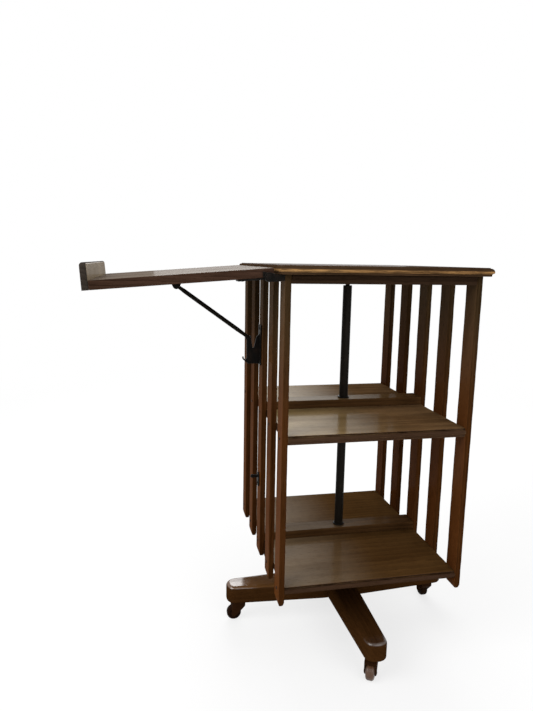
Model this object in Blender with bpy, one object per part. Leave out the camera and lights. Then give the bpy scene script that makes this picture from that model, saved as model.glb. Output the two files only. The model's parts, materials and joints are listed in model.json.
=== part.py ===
"""Revolving bookcase of dark oak with a folding side flap.

Metres, +Z up. The origin lies on the floor under the spindle. The case is open at the front (-Y) and at the
back, has slats on its left (-X) and right side, and carries the flap on its left side.
"""

import math

import bmesh
import bpy
from mathutils import Vector

# Clearances
SEAT_GAP = 0.0003            # air between two pieces that touch
RUNNING_GAP = 0.0005         # air between two pieces that turn on each other
PASS_GAP = 0.0008            # air round the spindle where wood passes it

# Base
ARM_LENGTH = 0.545
LONG_ARM_WIDTH = 0.078       # at the crossing
CROSS_ARM_WIDTH = 0.064
ARM_END_WIDTH = 0.049        # where the rounded end begins
ARM_STRAIGHT = 0.005         # how far the sides run straight past the crossing
ARM_THICKNESS = 0.041
ARM_END_REACH = 0.0265       # length of an arm's rounded end
ARM_END_FULLNESS = 2.5       # 2 draws half an ellipse, more fills out its corners
ARM_TOP_ROUND = 0.0095
ARM_LOWER_ROUND = 0.005
SOCKET_FLANGE_RADIUS = 0.046
SOCKET_FLANGE_THICKNESS = 0.005
SOCKET_HUB_RADIUS = 0.024
SOCKET_FILLET = 0.010
SOCKET_HEIGHT = 0.0671
WASHER_RADIUS = 0.021
WASHER_THICKNESS = 0.003

# Spindle
SPINDLE_RADIUS = 0.010
SPINDLE_FOOT_RADIUS = 0.018
SPINDLE_FOOT_THICKNESS = 0.004
NECK_RADIUS = 0.0048
NECK_VISIBLE = 0.0075        # bare neck between the spindle's shoulder and the bush
NECK_END_GAP = 0.004         # air over the neck's end
COLLAR_WALL = 0.0028
COLLAR_HEIGHT = 0.003
BUSH_WALL = 0.006
BUSH_FLANGE = 0.005
BUSH_FLANGE_THICKNESS = 0.0025

# Castors
CASTOR_INSET = 0.033         # swivel axis from the arm's end
CASTOR_TRAIL = 0.015         # wheel axle from the swivel axis
RIGHT_CASTOR_TWIST = math.radians(90)   # the right horn has swung round to point back
FRONT_CASTOR_TWIST = math.radians(-30)  # the front horn has swung a little to the left
PLATE_RADIUS = 0.0185
PLATE_THICKNESS = 0.003
PINTLE_RADIUS = 0.004
PINTLE_LENGTH = 0.005
HORN_CROWN = 0.0118          # thickness of the horn over the wheel
HORN_HEEL = 0.0110           # height of the horn behind the swivel
HORN_BOSS_RADIUS = 0.011
HORN_CHEEK = 0.0030
HORN_ROUND = 0.0018
HORN_EYE_RADIUS = 0.0065
WHEEL_RADIUS = 0.017
WHEEL_WIDTH = 0.018
WHEEL_ROUND = 0.007
WHEEL_SIDE_GAP = 0.0008
AXLE_RADIUS = 0.003
AXLE_HEAD = 0.0008           # how far an axle's end stands out of the cheek

# Case
CASE_INNER_WIDTH = 0.372     # between the inner faces of the left and right slats
CASE_DEPTH = 0.447           # over the edges of the front and back slats
SLATS_PER_SIDE = 5
SLAT_WIDTH = 0.040
SLAT_THICKNESS = 0.012
SLAT_CHAMFER = 0.0012
SLAT_TIP_HEIGHT = 0.006
SLAT_TIP_INSET = 0.002
SLAT_DROP = 0.0232           # slat's tip below the bottom shelf
BOTTOM_SHELF_THICKNESS = 0.015
MIDDLE_SHELF_THICKNESS = 0.018
LOWER_SPACE = 0.296          # bottom shelf to middle shelf
UPPER_SPACE = 0.2895         # middle shelf to the top rails
STOP_WIDTH = 0.044
STOP_HEIGHT = 0.018
STOP_ROUND = 0.003
BATTEN_WIDTH = 0.070
BOTTOM_BATTEN_THICKNESS = 0.025
TOP_BATTEN_THICKNESS = 0.018
TOP_RAIL_HEIGHT = 0.0168
END_RAIL_THICKNESS = 0.030   # front and back top rail, along Y
SIDE_RAIL_THICKNESS = 0.018  # left and right top rail, along X
RAIL_EASE = 0.001
TOP_OVERHANG_SIDE = 0.014
TOP_OVERHANG_END = 0.0185
TOP_THICKNESS = 0.0167

# Moulded edge of the shelves and of the top
MOULD_QUIRK = 0.0012
MOULD_OVOLO = 0.0065
MOULD_NOSE = 0.0030
MOULD_COVE = 0.0038
MOULD_LEAST_FILLET = 0.0004  # least straight edge left under the cove

# Flap and its hinge
FLAP_TILT = math.radians(4.5)
FLAP_LENGTH = 0.326
FLAP_THICKNESS = 0.017
FLAP_ROUND = 0.0015
LIP_THICKNESS = 0.012
LIP_HEIGHT = 0.048
LIP_CORNER_RADIUS = 0.009
BRACKET_EYE_RADIUS = 0.009
HINGE_EDGE_GAP = 0.0063      # air between a bracket's eye and the top's edge
HINGE_DROP = 0.0056          # hinge axis below the underside of the top
HINGE_BELOW_FLAP_TOP = 0.016
FLAP_EDGE_GAP = 0.0043       # air between the flap's inner end and the top's edge
BRACKET_PLATE = 0.004
BRACKET_FLANGE_THICKNESS = 0.003
BRACKET_MARGIN = 0.004       # slat left bare beside a bracket's flange
BRACKET_HEIGHT = 0.0115
LEAF_PLATE = 0.003
LEAF_EYE_RADIUS = 0.0080
LEAF_LENGTH = 0.056
LEAF_EDGE_LENGTH = 0.0105     # upstand on the flap's edge, from the hinge axis
LEAF_UPSTAND = 0.011         # top of the upstand over the hinge axis
LEAF_STEP = 0.0002           # upstand's lower edge below the plate
LEAF_DEPTH = 0.034
HINGE_PIN_RADIUS = 0.0035
HINGE_PIN_HEAD_RADIUS = 0.006
HINGE_PIN_HEAD = 0.0025

# Strut, lug, rack and peg
LUG_DISTANCE = 0.158         # lug pin from the hinge axis, along the flap
LUG_DROP = 0.012             # lug pin below the flap
LUG_PLATE = 0.003
LUG_CHEEK = 0.005
LUG_RADIUS = 0.008
LUG_LENGTH = 0.038
LUG_DEPTH = 0.016            # lug's base plate, in front of the cheek
LUG_PIN_RADIUS = 0.003
LUG_PIN_HEAD_RADIUS = 0.005
LUG_PIN_HEAD = 0.0025
ROD_RADIUS = 0.004
ROD_EYE_RADIUS = 0.0075
ROD_EYE_STEP = 0.0001        # eye's faces inside the rod's outline
ROD_SIDE_GAP = 0.0006        # air between the rod and the rack's rib
RACK_HOOK_DROP = 0.1387      # upper hook below the hinge axis
RACK_HOOK_STEP = 0.0465      # upper hook to lower hook
RACK_UPPER_REACH = 0.0286    # upper hook from the slat
RACK_LOWER_REACH = 0.0345
RACK_THROAT_RADIUS = 0.0034
RACK_LIP = 0.0030
RACK_RIB = 0.005
RACK_FLANGE_THICKNESS = 0.003
RACK_FLANGE_WIDTH = 0.026
RACK_NOTCH_REACH = 0.0168    # foot of the notch between the upper hook and the flange, from the slat
RACK_NOTCH_DEPTH = 0.0240    # foot of the notch below the upper hook
RACK_NOTCH_RADIUS = 0.0018
RACK_SHOULDER_REACH = 0.0095 # rib's shoulder behind the notch, from the slat
RACK_RIB_OVER = 0.0095       # rib above the upper hook, at the flange
RACK_RIB_UNDER = 0.0600      # rib below the upper hook
RACK_FLANGE_OVER = 0.0170    # flange above the rib
RACK_FLANGE_UNDER = 0.0030   # flange below the rib
PEG_HEIGHT_OVER_SHELF = 0.152  # peg over the bottom shelf's top
PEG_RADIUS = 0.0038
PEG_LENGTH = 0.009
PEG_BALL_RADIUS = 0.0046
PEG_PLATE_HEIGHT = 0.034
PEG_PLATE_WIDTH = 0.018
PEG_PLATE_THICKNESS = 0.003

ROUND_STEPS = 24
PIN_STEPS = 16
ROD_STEPS = 12
ARM_END_STEPS = 14
DOME_RIM = 1 / 3             # upright rim of a domed head, as a share of its height
DOME_CROWN = 0.55            # flat crown of a domed head, as a share of its radius

# Levels, stacked from the floor
HORN_SLOT_TOP = 2 * WHEEL_RADIUS + WHEEL_SIDE_GAP
HORN_TOP = HORN_SLOT_TOP + HORN_CROWN
PLATE_BOTTOM = HORN_TOP + RUNNING_GAP
ARM_BOTTOM = PLATE_BOTTOM + PLATE_THICKNESS + SEAT_GAP
ARM_TOP = ARM_BOTTOM + ARM_THICKNESS
SOCKET_BOTTOM = ARM_TOP + SEAT_GAP
SOCKET_TOP = SOCKET_BOTTOM + SOCKET_HEIGHT
WASHER_BOTTOM = SOCKET_TOP + SEAT_GAP
BOTTOM_BATTEN_BOTTOM = WASHER_BOTTOM + WASHER_THICKNESS + SEAT_GAP
BOTTOM_SHELF_BOTTOM = BOTTOM_BATTEN_BOTTOM + BOTTOM_BATTEN_THICKNESS + SEAT_GAP
BOTTOM_SHELF_TOP = BOTTOM_SHELF_BOTTOM + BOTTOM_SHELF_THICKNESS
MIDDLE_SHELF_BOTTOM = BOTTOM_SHELF_TOP + LOWER_SPACE
MIDDLE_SHELF_TOP = MIDDLE_SHELF_BOTTOM + MIDDLE_SHELF_THICKNESS
RAIL_BOTTOM = MIDDLE_SHELF_TOP + UPPER_SPACE
RAIL_TOP = RAIL_BOTTOM + TOP_RAIL_HEIGHT
TOP_BOTTOM = RAIL_TOP + SEAT_GAP
TOP_TOP = TOP_BOTTOM + TOP_THICKNESS
SLAT_BOTTOM = BOTTOM_SHELF_BOTTOM - SLAT_DROP
SLAT_TOP = TOP_BOTTOM - SEAT_GAP
TOP_BATTEN_BOTTOM = RAIL_TOP - TOP_BATTEN_THICKNESS
BUSH_BOTTOM = TOP_BATTEN_BOTTOM - SEAT_GAP - BUSH_FLANGE_THICKNESS
SHOULDER = BUSH_BOTTOM - NECK_VISIBLE
NECK_TOP = TOP_BOTTOM - NECK_END_GAP

# Plan places
INNER_X = CASE_INNER_WIDTH / 2
OUTER_X = INNER_X + SLAT_THICKNESS
END_Y = CASE_DEPTH / 2
SLAT_PITCH = (CASE_DEPTH - SLAT_WIDTH) / (SLATS_PER_SIDE - 1)
SPINDLE_PASS = SPINDLE_RADIUS + PASS_GAP

# Flap's hinge, in the world and in the flap's own frame (-X outwards, +Z off its top)
TOP_EDGE_X = OUTER_X + TOP_OVERHANG_SIDE
HINGE_X = -TOP_EDGE_X - HINGE_EDGE_GAP - BRACKET_EYE_RADIUS
HINGE_Z = TOP_BOTTOM - HINGE_DROP
FLAP_TOP = HINGE_BELOW_FLAP_TOP
FLAP_BOTTOM = FLAP_TOP - FLAP_THICKNESS
FLAP_INNER = HINGE_EDGE_GAP + BRACKET_EYE_RADIUS - FLAP_EDGE_GAP
FLAP_OUTER = FLAP_INNER - FLAP_LENGTH
LEAF_FACE_Y = END_Y - BRACKET_PLATE - RUNNING_GAP      # outer face of a hinge leaf
FLAP_END_Y = LEAF_FACE_Y - LEAF_PLATE - SEAT_GAP       # flap's front and back edge

# Strut's pivot and foot
ROD_Y = -ROD_RADIUS - ROD_SIDE_GAP
LUG_PIN_LOCAL = Vector((-LUG_DISTANCE, ROD_Y, FLAP_BOTTOM - LUG_DROP))
SLAT_FACE_X = -OUTER_X - SEAT_GAP                      # back of the iron on the left slats
HOOK_X = SLAT_FACE_X - RACK_UPPER_REACH
HOOK_Z = HINGE_Z - RACK_HOOK_DROP
PEG_Z = BOTTOM_SHELF_TOP + PEG_HEIGHT_OVER_SHELF
LUG_BACK_Y = ROD_Y - ROD_RADIUS - RUNNING_GAP

# Colours (linear), roughness, metallic
OAK_SLAT = (0.105, 0.042, 0.016), 0.42, 0.0
OAK_SHELF = (0.125, 0.072, 0.032), 0.30, 0.0
OAK_TOP = (0.098, 0.047, 0.020), 0.30, 0.0
OAK_DARK = (0.050, 0.022, 0.010), 0.38, 0.0
IRON = (0.012, 0.012, 0.012), 0.50, 0.8
BRASS = (0.160, 0.100, 0.040), 0.45, 1.0
WHEEL_WOOD = (0.045, 0.022, 0.012), 0.35, 0.0


def clear_scene():
    """Remove every object of the open scene."""
    for item in list(bpy.data.objects):
        bpy.data.objects.remove(item, do_unlink=True)


def finish_material(name, look):
    """Make the piece's own material from its colour, roughness and metallic value."""
    colour, roughness, metallic = look
    material = bpy.data.materials.new(name)
    material.use_nodes = True
    shader = material.node_tree.nodes["Principled BSDF"]
    shader.inputs["Base Color"].default_value = (*colour, 1.0)
    shader.inputs["Roughness"].default_value = roughness
    shader.inputs["Metallic"].default_value = metallic
    return material


def place(item, parent, location=(0, 0, 0), rotation=(0, 0, 0)):
    """Link an object to the scene under its parent."""
    bpy.context.scene.collection.objects.link(item)
    item.parent = parent
    item.location = location
    item.rotation_euler = rotation
    return item


def axis_empty(name, parent=None, location=(0, 0, 0), rotation=(0, 0, 0)):
    """An empty on a joint's axis, which carries the pieces that move on it."""
    return place(bpy.data.objects.new(name, None), parent, location, rotation)


def piece(name, mesh, look, parent, location=(0, 0, 0), rotation=(0, 0, 0)):
    """A named sub-part with its own material."""
    mesh.materials.append(finish_material(name, look))
    return place(bpy.data.objects.new(name, mesh), parent, location, rotation)


def tool(name, mesh, parent, location=(0, 0, 0), rotation=(0, 0, 0)):
    """A hidden shape that cuts or joins another."""
    item = place(bpy.data.objects.new(name, mesh), parent, location, rotation)
    item.hide_render = True
    item.display_type = 'WIRE'
    return item


def boolean(target, other, operation='DIFFERENCE'):
    """Cut a hidden shape out of a piece, or add it."""
    modifier = target.modifiers.new(operation.lower(), 'BOOLEAN')
    modifier.operation = operation
    modifier.object = other


def skin(name, loops, smooth=False, ring=False):
    """Closed mesh of loops joined side by side; a ring joins last to first, others are capped."""
    shape = bmesh.new()
    rows = [[shape.verts.new(point) for point in loop] for loop in loops]
    count = len(rows[0])
    following = rows[1:] + rows[:1] if ring else rows[1:]
    for low, high in zip(rows, following):
        for k in range(count):
            j = (k + 1) % count
            shape.faces.new((low[k], low[j], high[j], high[k]))
    if not ring:
        shape.faces.new(rows[0][::-1])
        shape.faces.new(rows[-1])
    bmesh.ops.recalc_face_normals(shape, faces=shape.faces)
    mesh = bpy.data.meshes.new(name)
    shape.to_mesh(mesh)
    shape.free()
    if smooth:
        mesh.shade_smooth()
        mesh.set_sharp_from_angle(angle=math.radians(35))
    return mesh


def extrude(name, outline, axis, low, high):
    """Mesh of a flat outline drawn out along X, Y or Z."""
    at = {'X': lambda p, d: (d, p[0], p[1]),
          'Y': lambda p, d: (p[0], d, p[1]),
          'Z': lambda p, d: (p[0], p[1], d)}[axis]
    return skin(name, [[at(p, low) for p in outline], [at(p, high) for p in outline]])


def block(name, low, high):
    """Mesh of a square-edged block between two corners."""
    outline = [(low[0], low[1]), (high[0], low[1]), (high[0], high[1]), (low[0], high[1])]
    return extrude(name, outline, 'Z', low[2], high[2])


def circle(radius, height, axis='Z', steps=ROUND_STEPS, centre=(0, 0)):
    """Points of a circle about an axis; the first lies at the axis's lowest side."""
    points = []
    for k in range(steps):
        turn = 2 * math.pi * k / steps
        a = centre[0] + radius * math.sin(turn)
        b = centre[1] - radius * math.cos(turn)
        points.append({'X': (height, a, b), 'Y': (a, height, b), 'Z': (a, b, height)}[axis])
    return points


def turned(name, profile, axis='Z', ring=False, steps=ROUND_STEPS, centre=(0, 0)):
    """Mesh of a profile of (radius, height) points turned about an axis."""
    loops = [circle(radius, height, axis, steps, centre) for radius, height in profile]
    return skin(name, loops, smooth=True, ring=ring)


def arc(centre, radius, start, end, steps):
    """Points of an arc from one angle to another, in degrees."""
    points = []
    for k in range(steps + 1):
        turn = math.radians(start + (end - start) * k / steps)
        points.append((centre[0] + radius * math.cos(turn), centre[1] + radius * math.sin(turn)))
    return points


def soften(item, width, segments=1):
    """Ease a piece's sharp edges."""
    modifier = item.modifiers.new('eased_edges', 'BEVEL')
    modifier.width = width
    modifier.segments = segments
    modifier.limit_method = 'ANGLE'
    modifier.angle_limit = math.radians(40)


def domed_pin(shank_radius, shank_end, head_radius, head_seat, head_height, way):
    """Profile of a pin from the end of its shank to the crown of its domed head; way is the head's side."""
    return [(shank_radius, shank_end), (shank_radius, head_seat), (head_radius, head_seat),
            (head_radius, head_seat + way * head_height * DOME_RIM),
            (head_radius * DOME_CROWN, head_seat + way * head_height)]


def bore_tool(name, radius, low, high, parent=None, axis='Z', steps=ROUND_STEPS, centre=(0, 0)):
    """A hidden cylinder that bores a hole along an axis."""
    return tool(name, turned(name, [(radius, low), (radius, high)], axis, steps=steps, centre=centre), parent)


def arm_outline(width, inset):
    """Plan of a base arm along X, drawn in by a given amount: straight at the crossing, tapered, round at the ends."""
    start = ARM_LENGTH / 2 - ARM_END_REACH
    straight = max(LONG_ARM_WIDTH, CROSS_ARM_WIDTH) / 2 + ARM_STRAIGHT
    points = [(straight, inset - width / 2)]
    for k in range(ARM_END_STEPS + 1):
        turn = math.pi * (k / ARM_END_STEPS - 0.5)
        ahead = math.cos(turn) ** (2 / ARM_END_FULLNESS)
        aside = math.copysign(abs(math.sin(turn)) ** (2 / ARM_END_FULLNESS), turn)
        points.append((start + (ARM_END_REACH - inset) * ahead, (ARM_END_WIDTH / 2 - inset) * aside))
    points.append((straight, width / 2 - inset))
    return points + [(-x, -y) for x, y in points]


def arm_mesh(name, width):
    """A base arm: rounded ends, a large round along the top edge and a small one below."""
    rows = [(ARM_LOWER_ROUND, ARM_BOTTOM), (ARM_LOWER_ROUND * 0.3, ARM_BOTTOM + ARM_LOWER_ROUND * 0.3),
            (0.0, ARM_BOTTOM + ARM_LOWER_ROUND)]
    for turn in (0, 30, 60, 90):
        angle = math.radians(turn)
        rows.append((ARM_TOP_ROUND * (1 - math.cos(angle)), ARM_TOP - ARM_TOP_ROUND * (1 - math.sin(angle))))
    loops = [[(x, y, height) for x, y in arm_outline(width, inset)] for inset, height in rows]
    return skin(name, loops, smooth=True)


def add_base_arms():
    """Two arms half-lapped over each other, bored for the spindle."""
    middle = ARM_BOTTOM + ARM_THICKNESS / 2
    long_half = LONG_ARM_WIDTH / 2 + SEAT_GAP
    cross_half = CROSS_ARM_WIDTH / 2 + SEAT_GAP
    reach = 2 * long_half
    under = ARM_BOTTOM - ARM_THICKNESS
    over = ARM_TOP + ARM_THICKNESS
    upper_half = block('long_notch', (-cross_half, -reach, middle - SEAT_GAP / 2), (cross_half, reach, over))
    lower_half = block('cross_notch', (-reach, -long_half, under), (reach, long_half, middle + SEAT_GAP / 2))
    bore = bore_tool('arm_bore', SPINDLE_RADIUS + SEAT_GAP, under, over)
    quarter_turn = (0, 0, math.pi / 2)
    for name, width, notch, turn in (('base_arm_long', LONG_ARM_WIDTH, upper_half, (0, 0, 0)),
                                     ('base_arm_cross', CROSS_ARM_WIDTH, lower_half, quarter_turn)):
        arm = piece(name, arm_mesh(name, width), OAK_DARK, None, rotation=turn)
        boolean(arm, tool(name + '_notch', notch, None))
        boolean(arm, bore)


def add_spindle():
    """The iron post: riveted foot under the arms, plain shaft, shoulder and neck."""
    foot_top = ARM_BOTTOM - SEAT_GAP
    profile = [(SPINDLE_FOOT_RADIUS, foot_top - SPINDLE_FOOT_THICKNESS), (SPINDLE_FOOT_RADIUS, foot_top),
               (SPINDLE_RADIUS, foot_top), (SPINDLE_RADIUS, SHOULDER), (NECK_RADIUS, SHOULDER),
               (NECK_RADIUS, NECK_TOP)]
    piece('spindle', turned('spindle', profile), IRON, None)


def add_socket():
    """Flanged iron hub that steadies the spindle, and the washer on its top."""
    bore = SPINDLE_RADIUS + SEAT_GAP
    flange_top = SOCKET_BOTTOM + SOCKET_FLANGE_THICKNESS
    fillet_centre = (SOCKET_HUB_RADIUS + SOCKET_FILLET, flange_top + SOCKET_FILLET)
    profile = [(bore, SOCKET_BOTTOM), (bore, SOCKET_TOP), (WASHER_RADIUS, SOCKET_TOP)]
    profile += arc(fillet_centre, SOCKET_FILLET, 180, 270, 3)
    profile += [(SOCKET_FLANGE_RADIUS, flange_top), (SOCKET_FLANGE_RADIUS, SOCKET_BOTTOM)]
    piece('spindle_socket', turned('spindle_socket', profile, ring=True), IRON, None)
    washer = [(bore, 0), (bore, WASHER_THICKNESS), (WASHER_RADIUS, WASHER_THICKNESS), (WASHER_RADIUS, 0)]
    piece('thrust_washer', turned('thrust_washer', washer, ring=True), BRASS, None, (0, 0, WASHER_BOTTOM))


def castor_places():
    """Name, swivel point and horn's angle of the four castors; a twist of nought points outwards."""
    reach = ARM_LENGTH / 2 - CASTOR_INSET
    twists = {'right': RIGHT_CASTOR_TWIST, 'front': FRONT_CASTOR_TWIST}
    for k, side in enumerate(('right', 'back', 'left', 'front')):
        turn = k * math.pi / 2
        yield side, Vector((reach * math.cos(turn), reach * math.sin(turn), 0)), turn + twists.get(side, 0.0)


def add_castor_plate(side, swivel):
    """Round plate under the arm, with the pintle that the horn turns on."""
    profile = [(PINTLE_RADIUS, PLATE_BOTTOM - PINTLE_LENGTH), (PINTLE_RADIUS, PLATE_BOTTOM),
               (PLATE_RADIUS, PLATE_BOTTOM), (PLATE_RADIUS, PLATE_BOTTOM + PLATE_THICKNESS)]
    piece('castor_plate_' + side, turned('castor_plate_' + side, profile), BRASS, None, swivel)


def horn_outline():
    """Side of a castor's horn: crown over the swivel, cheek drawn down to the axle."""
    toe = CASTOR_TRAIL + HORN_EYE_RADIUS
    points = [(-HORN_BOSS_RADIUS, HORN_TOP), (-HORN_BOSS_RADIUS, HORN_TOP - HORN_HEEL)]
    points += arc((CASTOR_TRAIL, WHEEL_RADIUS), HORN_EYE_RADIUS, 215, 380, 6)
    points += [(toe, HORN_TOP - HORN_CROWN / 2), (CASTOR_TRAIL, HORN_TOP)]
    return points


def add_castor_horn(side, swivel_axis):
    """The forked horn of a castor and the axle through its cheeks."""
    name = 'castor_horn_' + side
    slot_half = WHEEL_WIDTH / 2 + WHEEL_SIDE_GAP
    half = slot_half + HORN_CHEEK
    horn = piece(name, extrude(name, horn_outline(), 'Y', -half, half), BRASS, swivel_axis)
    soften(horn, HORN_ROUND, 2)
    slot_start = CASTOR_TRAIL - WHEEL_RADIUS - WHEEL_SIDE_GAP
    slot_end = CASTOR_TRAIL + 2 * WHEEL_RADIUS
    slot_low = (slot_start, -slot_half, -HORN_TOP)
    slot_high = (slot_end, slot_half, HORN_SLOT_TOP)
    socket_bottom = PLATE_BOTTOM - PINTLE_LENGTH - RUNNING_GAP
    centre = (CASTOR_TRAIL, WHEEL_RADIUS)
    socket_radius = PINTLE_RADIUS + RUNNING_GAP
    eye = AXLE_RADIUS + SEAT_GAP
    boolean(horn, tool(name + '_slot', block(name + '_slot', slot_low, slot_high), swivel_axis))
    boolean(horn, bore_tool(name + '_socket', socket_radius, socket_bottom, 2 * HORN_TOP, swivel_axis))
    boolean(horn, bore_tool(name + '_eye', eye, -2 * half, 2 * half, swivel_axis, 'Y', ROD_STEPS, centre))
    name = 'castor_axle_' + side
    axle = [(AXLE_RADIUS, -half - AXLE_HEAD), (AXLE_RADIUS, half + AXLE_HEAD)]
    piece(name, turned(name, axle, 'Y', steps=ROD_STEPS, centre=centre), BRASS, swivel_axis)


def add_castor_wheel(side, wheel_axis):
    """A castor's wheel with rounded shoulders."""
    half = WHEEL_WIDTH / 2
    bore = AXLE_RADIUS + RUNNING_GAP
    rim = arc((WHEEL_RADIUS - WHEEL_ROUND, half - WHEEL_ROUND), WHEEL_ROUND, 0, 90, 2)
    profile = [(bore, -half)] + [(radius, -y) for radius, y in reversed(rim)] + rim + [(bore, half)]
    name = 'castor_wheel_' + side
    piece(name, turned(name, profile, 'Y', ring=True), WHEEL_WOOD, wheel_axis)


def add_castor(side, swivel, turn):
    """One castor: plate, horn, axle and wheel."""
    add_castor_plate(side, swivel)
    swivel_axis = axis_empty('castor_swivel_' + side, None, swivel, (0, 0, turn))
    add_castor_horn(side, swivel_axis)
    wheel_axis = axis_empty('castor_roll_' + side, swivel_axis, (CASTOR_TRAIL, 0, WHEEL_RADIUS))
    add_castor_wheel(side, wheel_axis)


def moulding(thickness):
    """Edge of a board as (inset, depth below its upper face): quirk, ovolo, nose, cove and fillet."""
    full = MOULD_QUIRK + MOULD_OVOLO + MOULD_NOSE + MOULD_COVE
    fit = min(1.0, (thickness - MOULD_LEAST_FILLET) / full)
    quirk, ovolo, nose, cove = (fit * size for size in (MOULD_QUIRK, MOULD_OVOLO, MOULD_NOSE, MOULD_COVE))
    nose_end = quirk + ovolo + nose
    points = [(ovolo, 0.0)]
    points += [(x, -z) for x, z in arc((ovolo, -quirk - ovolo), ovolo, 90, 180, 3)]
    points += [(x, -z) for x, z in arc((0.0, -nose_end - cove), cove, 90, 0, 2)]
    points.append((cove, thickness))
    return points


def add_shelf(name, top, thickness, passage, case):
    """A shelf between the slats, moulded along its front and back edge."""
    edge = moulding(thickness)
    front = [(-END_Y + inset, top - depth) for inset, depth in edge]
    back = [(END_Y - inset, top - depth) for inset, depth in reversed(edge)]
    half = INNER_X - SEAT_GAP
    shelf = piece(name, extrude(name, front + back, 'X', -half, half), OAK_SHELF, case)
    boolean(shelf, passage)


def add_book_stop(level, shelf_top, passage, case):
    """The centre rail that books stand against, and the collar where the spindle comes through it."""
    low = shelf_top + SEAT_GAP
    top = low + STOP_HEIGHT
    half = STOP_WIDTH / 2
    outline = [(-half, low), (half, low)]
    outline += arc((half - STOP_ROUND, top - STOP_ROUND), STOP_ROUND, 0, 90, 3)
    outline += arc((-half + STOP_ROUND, top - STOP_ROUND), STOP_ROUND, 90, 180, 3)
    name = level + '_book_stop'
    length = INNER_X - SEAT_GAP
    stop = piece(name, extrude(name, outline, 'X', -length, length), OAK_SHELF, case)
    boolean(stop, passage)
    bore = SPINDLE_RADIUS + RUNNING_GAP
    profile = [(bore, 0), (bore, COLLAR_HEIGHT), (bore + COLLAR_WALL * 0.6, COLLAR_HEIGHT),
               (bore + COLLAR_WALL, COLLAR_HEIGHT * 0.7), (bore + COLLAR_WALL, 0)]
    name = level + '_collar'
    piece(name, turned(name, profile, ring=True), IRON, case, (0, 0, top + SEAT_GAP))


def add_battens(passage, case):
    """Cross battens under the bottom shelf and under the top, and the bush of the spindle's neck."""
    half = BATTEN_WIDTH / 2
    bottom = BOTTOM_BATTEN_BOTTOM
    mesh = block('bottom_batten', (-INNER_X + SEAT_GAP, -half, bottom),
                 (INNER_X - SEAT_GAP, half, bottom + BOTTOM_BATTEN_THICKNESS))
    boolean(piece('bottom_batten', mesh, OAK_DARK, case), passage)
    reach = INNER_X - SEAT_GAP - SIDE_RAIL_THICKNESS - SEAT_GAP
    mesh = block('top_batten', (-reach, -half, TOP_BATTEN_BOTTOM), (reach, half, RAIL_TOP))
    batten = piece('top_batten', mesh, OAK_DARK, case)
    inner = NECK_RADIUS + RUNNING_GAP
    outer = inner + BUSH_WALL
    rim = outer + BUSH_FLANGE
    flange_top = BUSH_BOTTOM + BUSH_FLANGE_THICKNESS
    boolean(batten, bore_tool('bush_hole', outer + SEAT_GAP, BUSH_BOTTOM - BUSH_WALL, TOP_TOP, case))
    profile = [(inner, BUSH_BOTTOM), (inner, RAIL_TOP), (outer, RAIL_TOP), (outer, flange_top),
               (rim, flange_top), (rim, BUSH_BOTTOM)]
    piece('pivot_bush', turned('pivot_bush', profile, ring=True), BRASS, case)


def add_top(case):
    """The four rails under the top, and the top board with its moulded edge."""
    across = INNER_X - SEAT_GAP
    inner_end = END_Y - END_RAIL_THICKNESS
    for way, name in ((-1, 'front_top_rail'), (1, 'back_top_rail')):
        ends = sorted((way * END_Y, way * inner_end))
        mesh = block(name, (-across, ends[0], RAIL_BOTTOM), (across, ends[1], RAIL_TOP))
        soften(piece(name, mesh, OAK_DARK, case), RAIL_EASE)
    run = inner_end - SEAT_GAP
    for way, name in ((-1, 'left_top_rail'), (1, 'right_top_rail')):
        ends = sorted((way * across, way * (across - SIDE_RAIL_THICKNESS)))
        mesh = block(name, (ends[0], -run, RAIL_BOTTOM), (ends[1], run, RAIL_TOP))
        piece(name, mesh, OAK_DARK, case)
    loops = []
    for inset, depth in moulding(TOP_THICKNESS):
        x = TOP_EDGE_X - inset
        y = END_Y + TOP_OVERHANG_END - inset
        z = TOP_TOP - depth
        loops.append([(-x, -y, z), (x, -y, z), (x, y, z), (-x, y, z)])
    piece('top_board', skin('top_board', loops), OAK_TOP, case)


def slat_y(number):
    """Middle of a slat, counted from the front."""
    return -END_Y + SLAT_WIDTH / 2 + SLAT_PITCH * (number - 1)


def slat_outline(inset):
    """Plan of a slat about its middle, with eased corners, drawn in by a given amount."""
    x = SLAT_THICKNESS / 2 - inset
    y = SLAT_WIDTH / 2 - inset
    flat_x = x - SLAT_CHAMFER
    flat_y = y - SLAT_CHAMFER
    return [(flat_x, -y), (x, -flat_y), (x, flat_y), (flat_x, y),
            (-flat_x, y), (-x, flat_y), (-x, -flat_y), (-flat_x, -y)]


def add_slats(case):
    """Five slats on each side, tapered a little at the foot."""
    rows = [(SLAT_TIP_INSET, SLAT_BOTTOM), (0.0, SLAT_BOTTOM + SLAT_TIP_HEIGHT), (0.0, SLAT_TOP)]
    middle_x = INNER_X + SLAT_THICKNESS / 2
    for way, side in ((-1, 'left'), (1, 'right')):
        for number in range(1, SLATS_PER_SIDE + 1):
            name = f'{side}_slat_{number}'
            loops = [[(x, y, height) for x, y in slat_outline(inset)] for inset, height in rows]
            piece(name, skin(name, loops), OAK_SLAT, case, (way * middle_x, slat_y(number), 0))


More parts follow.
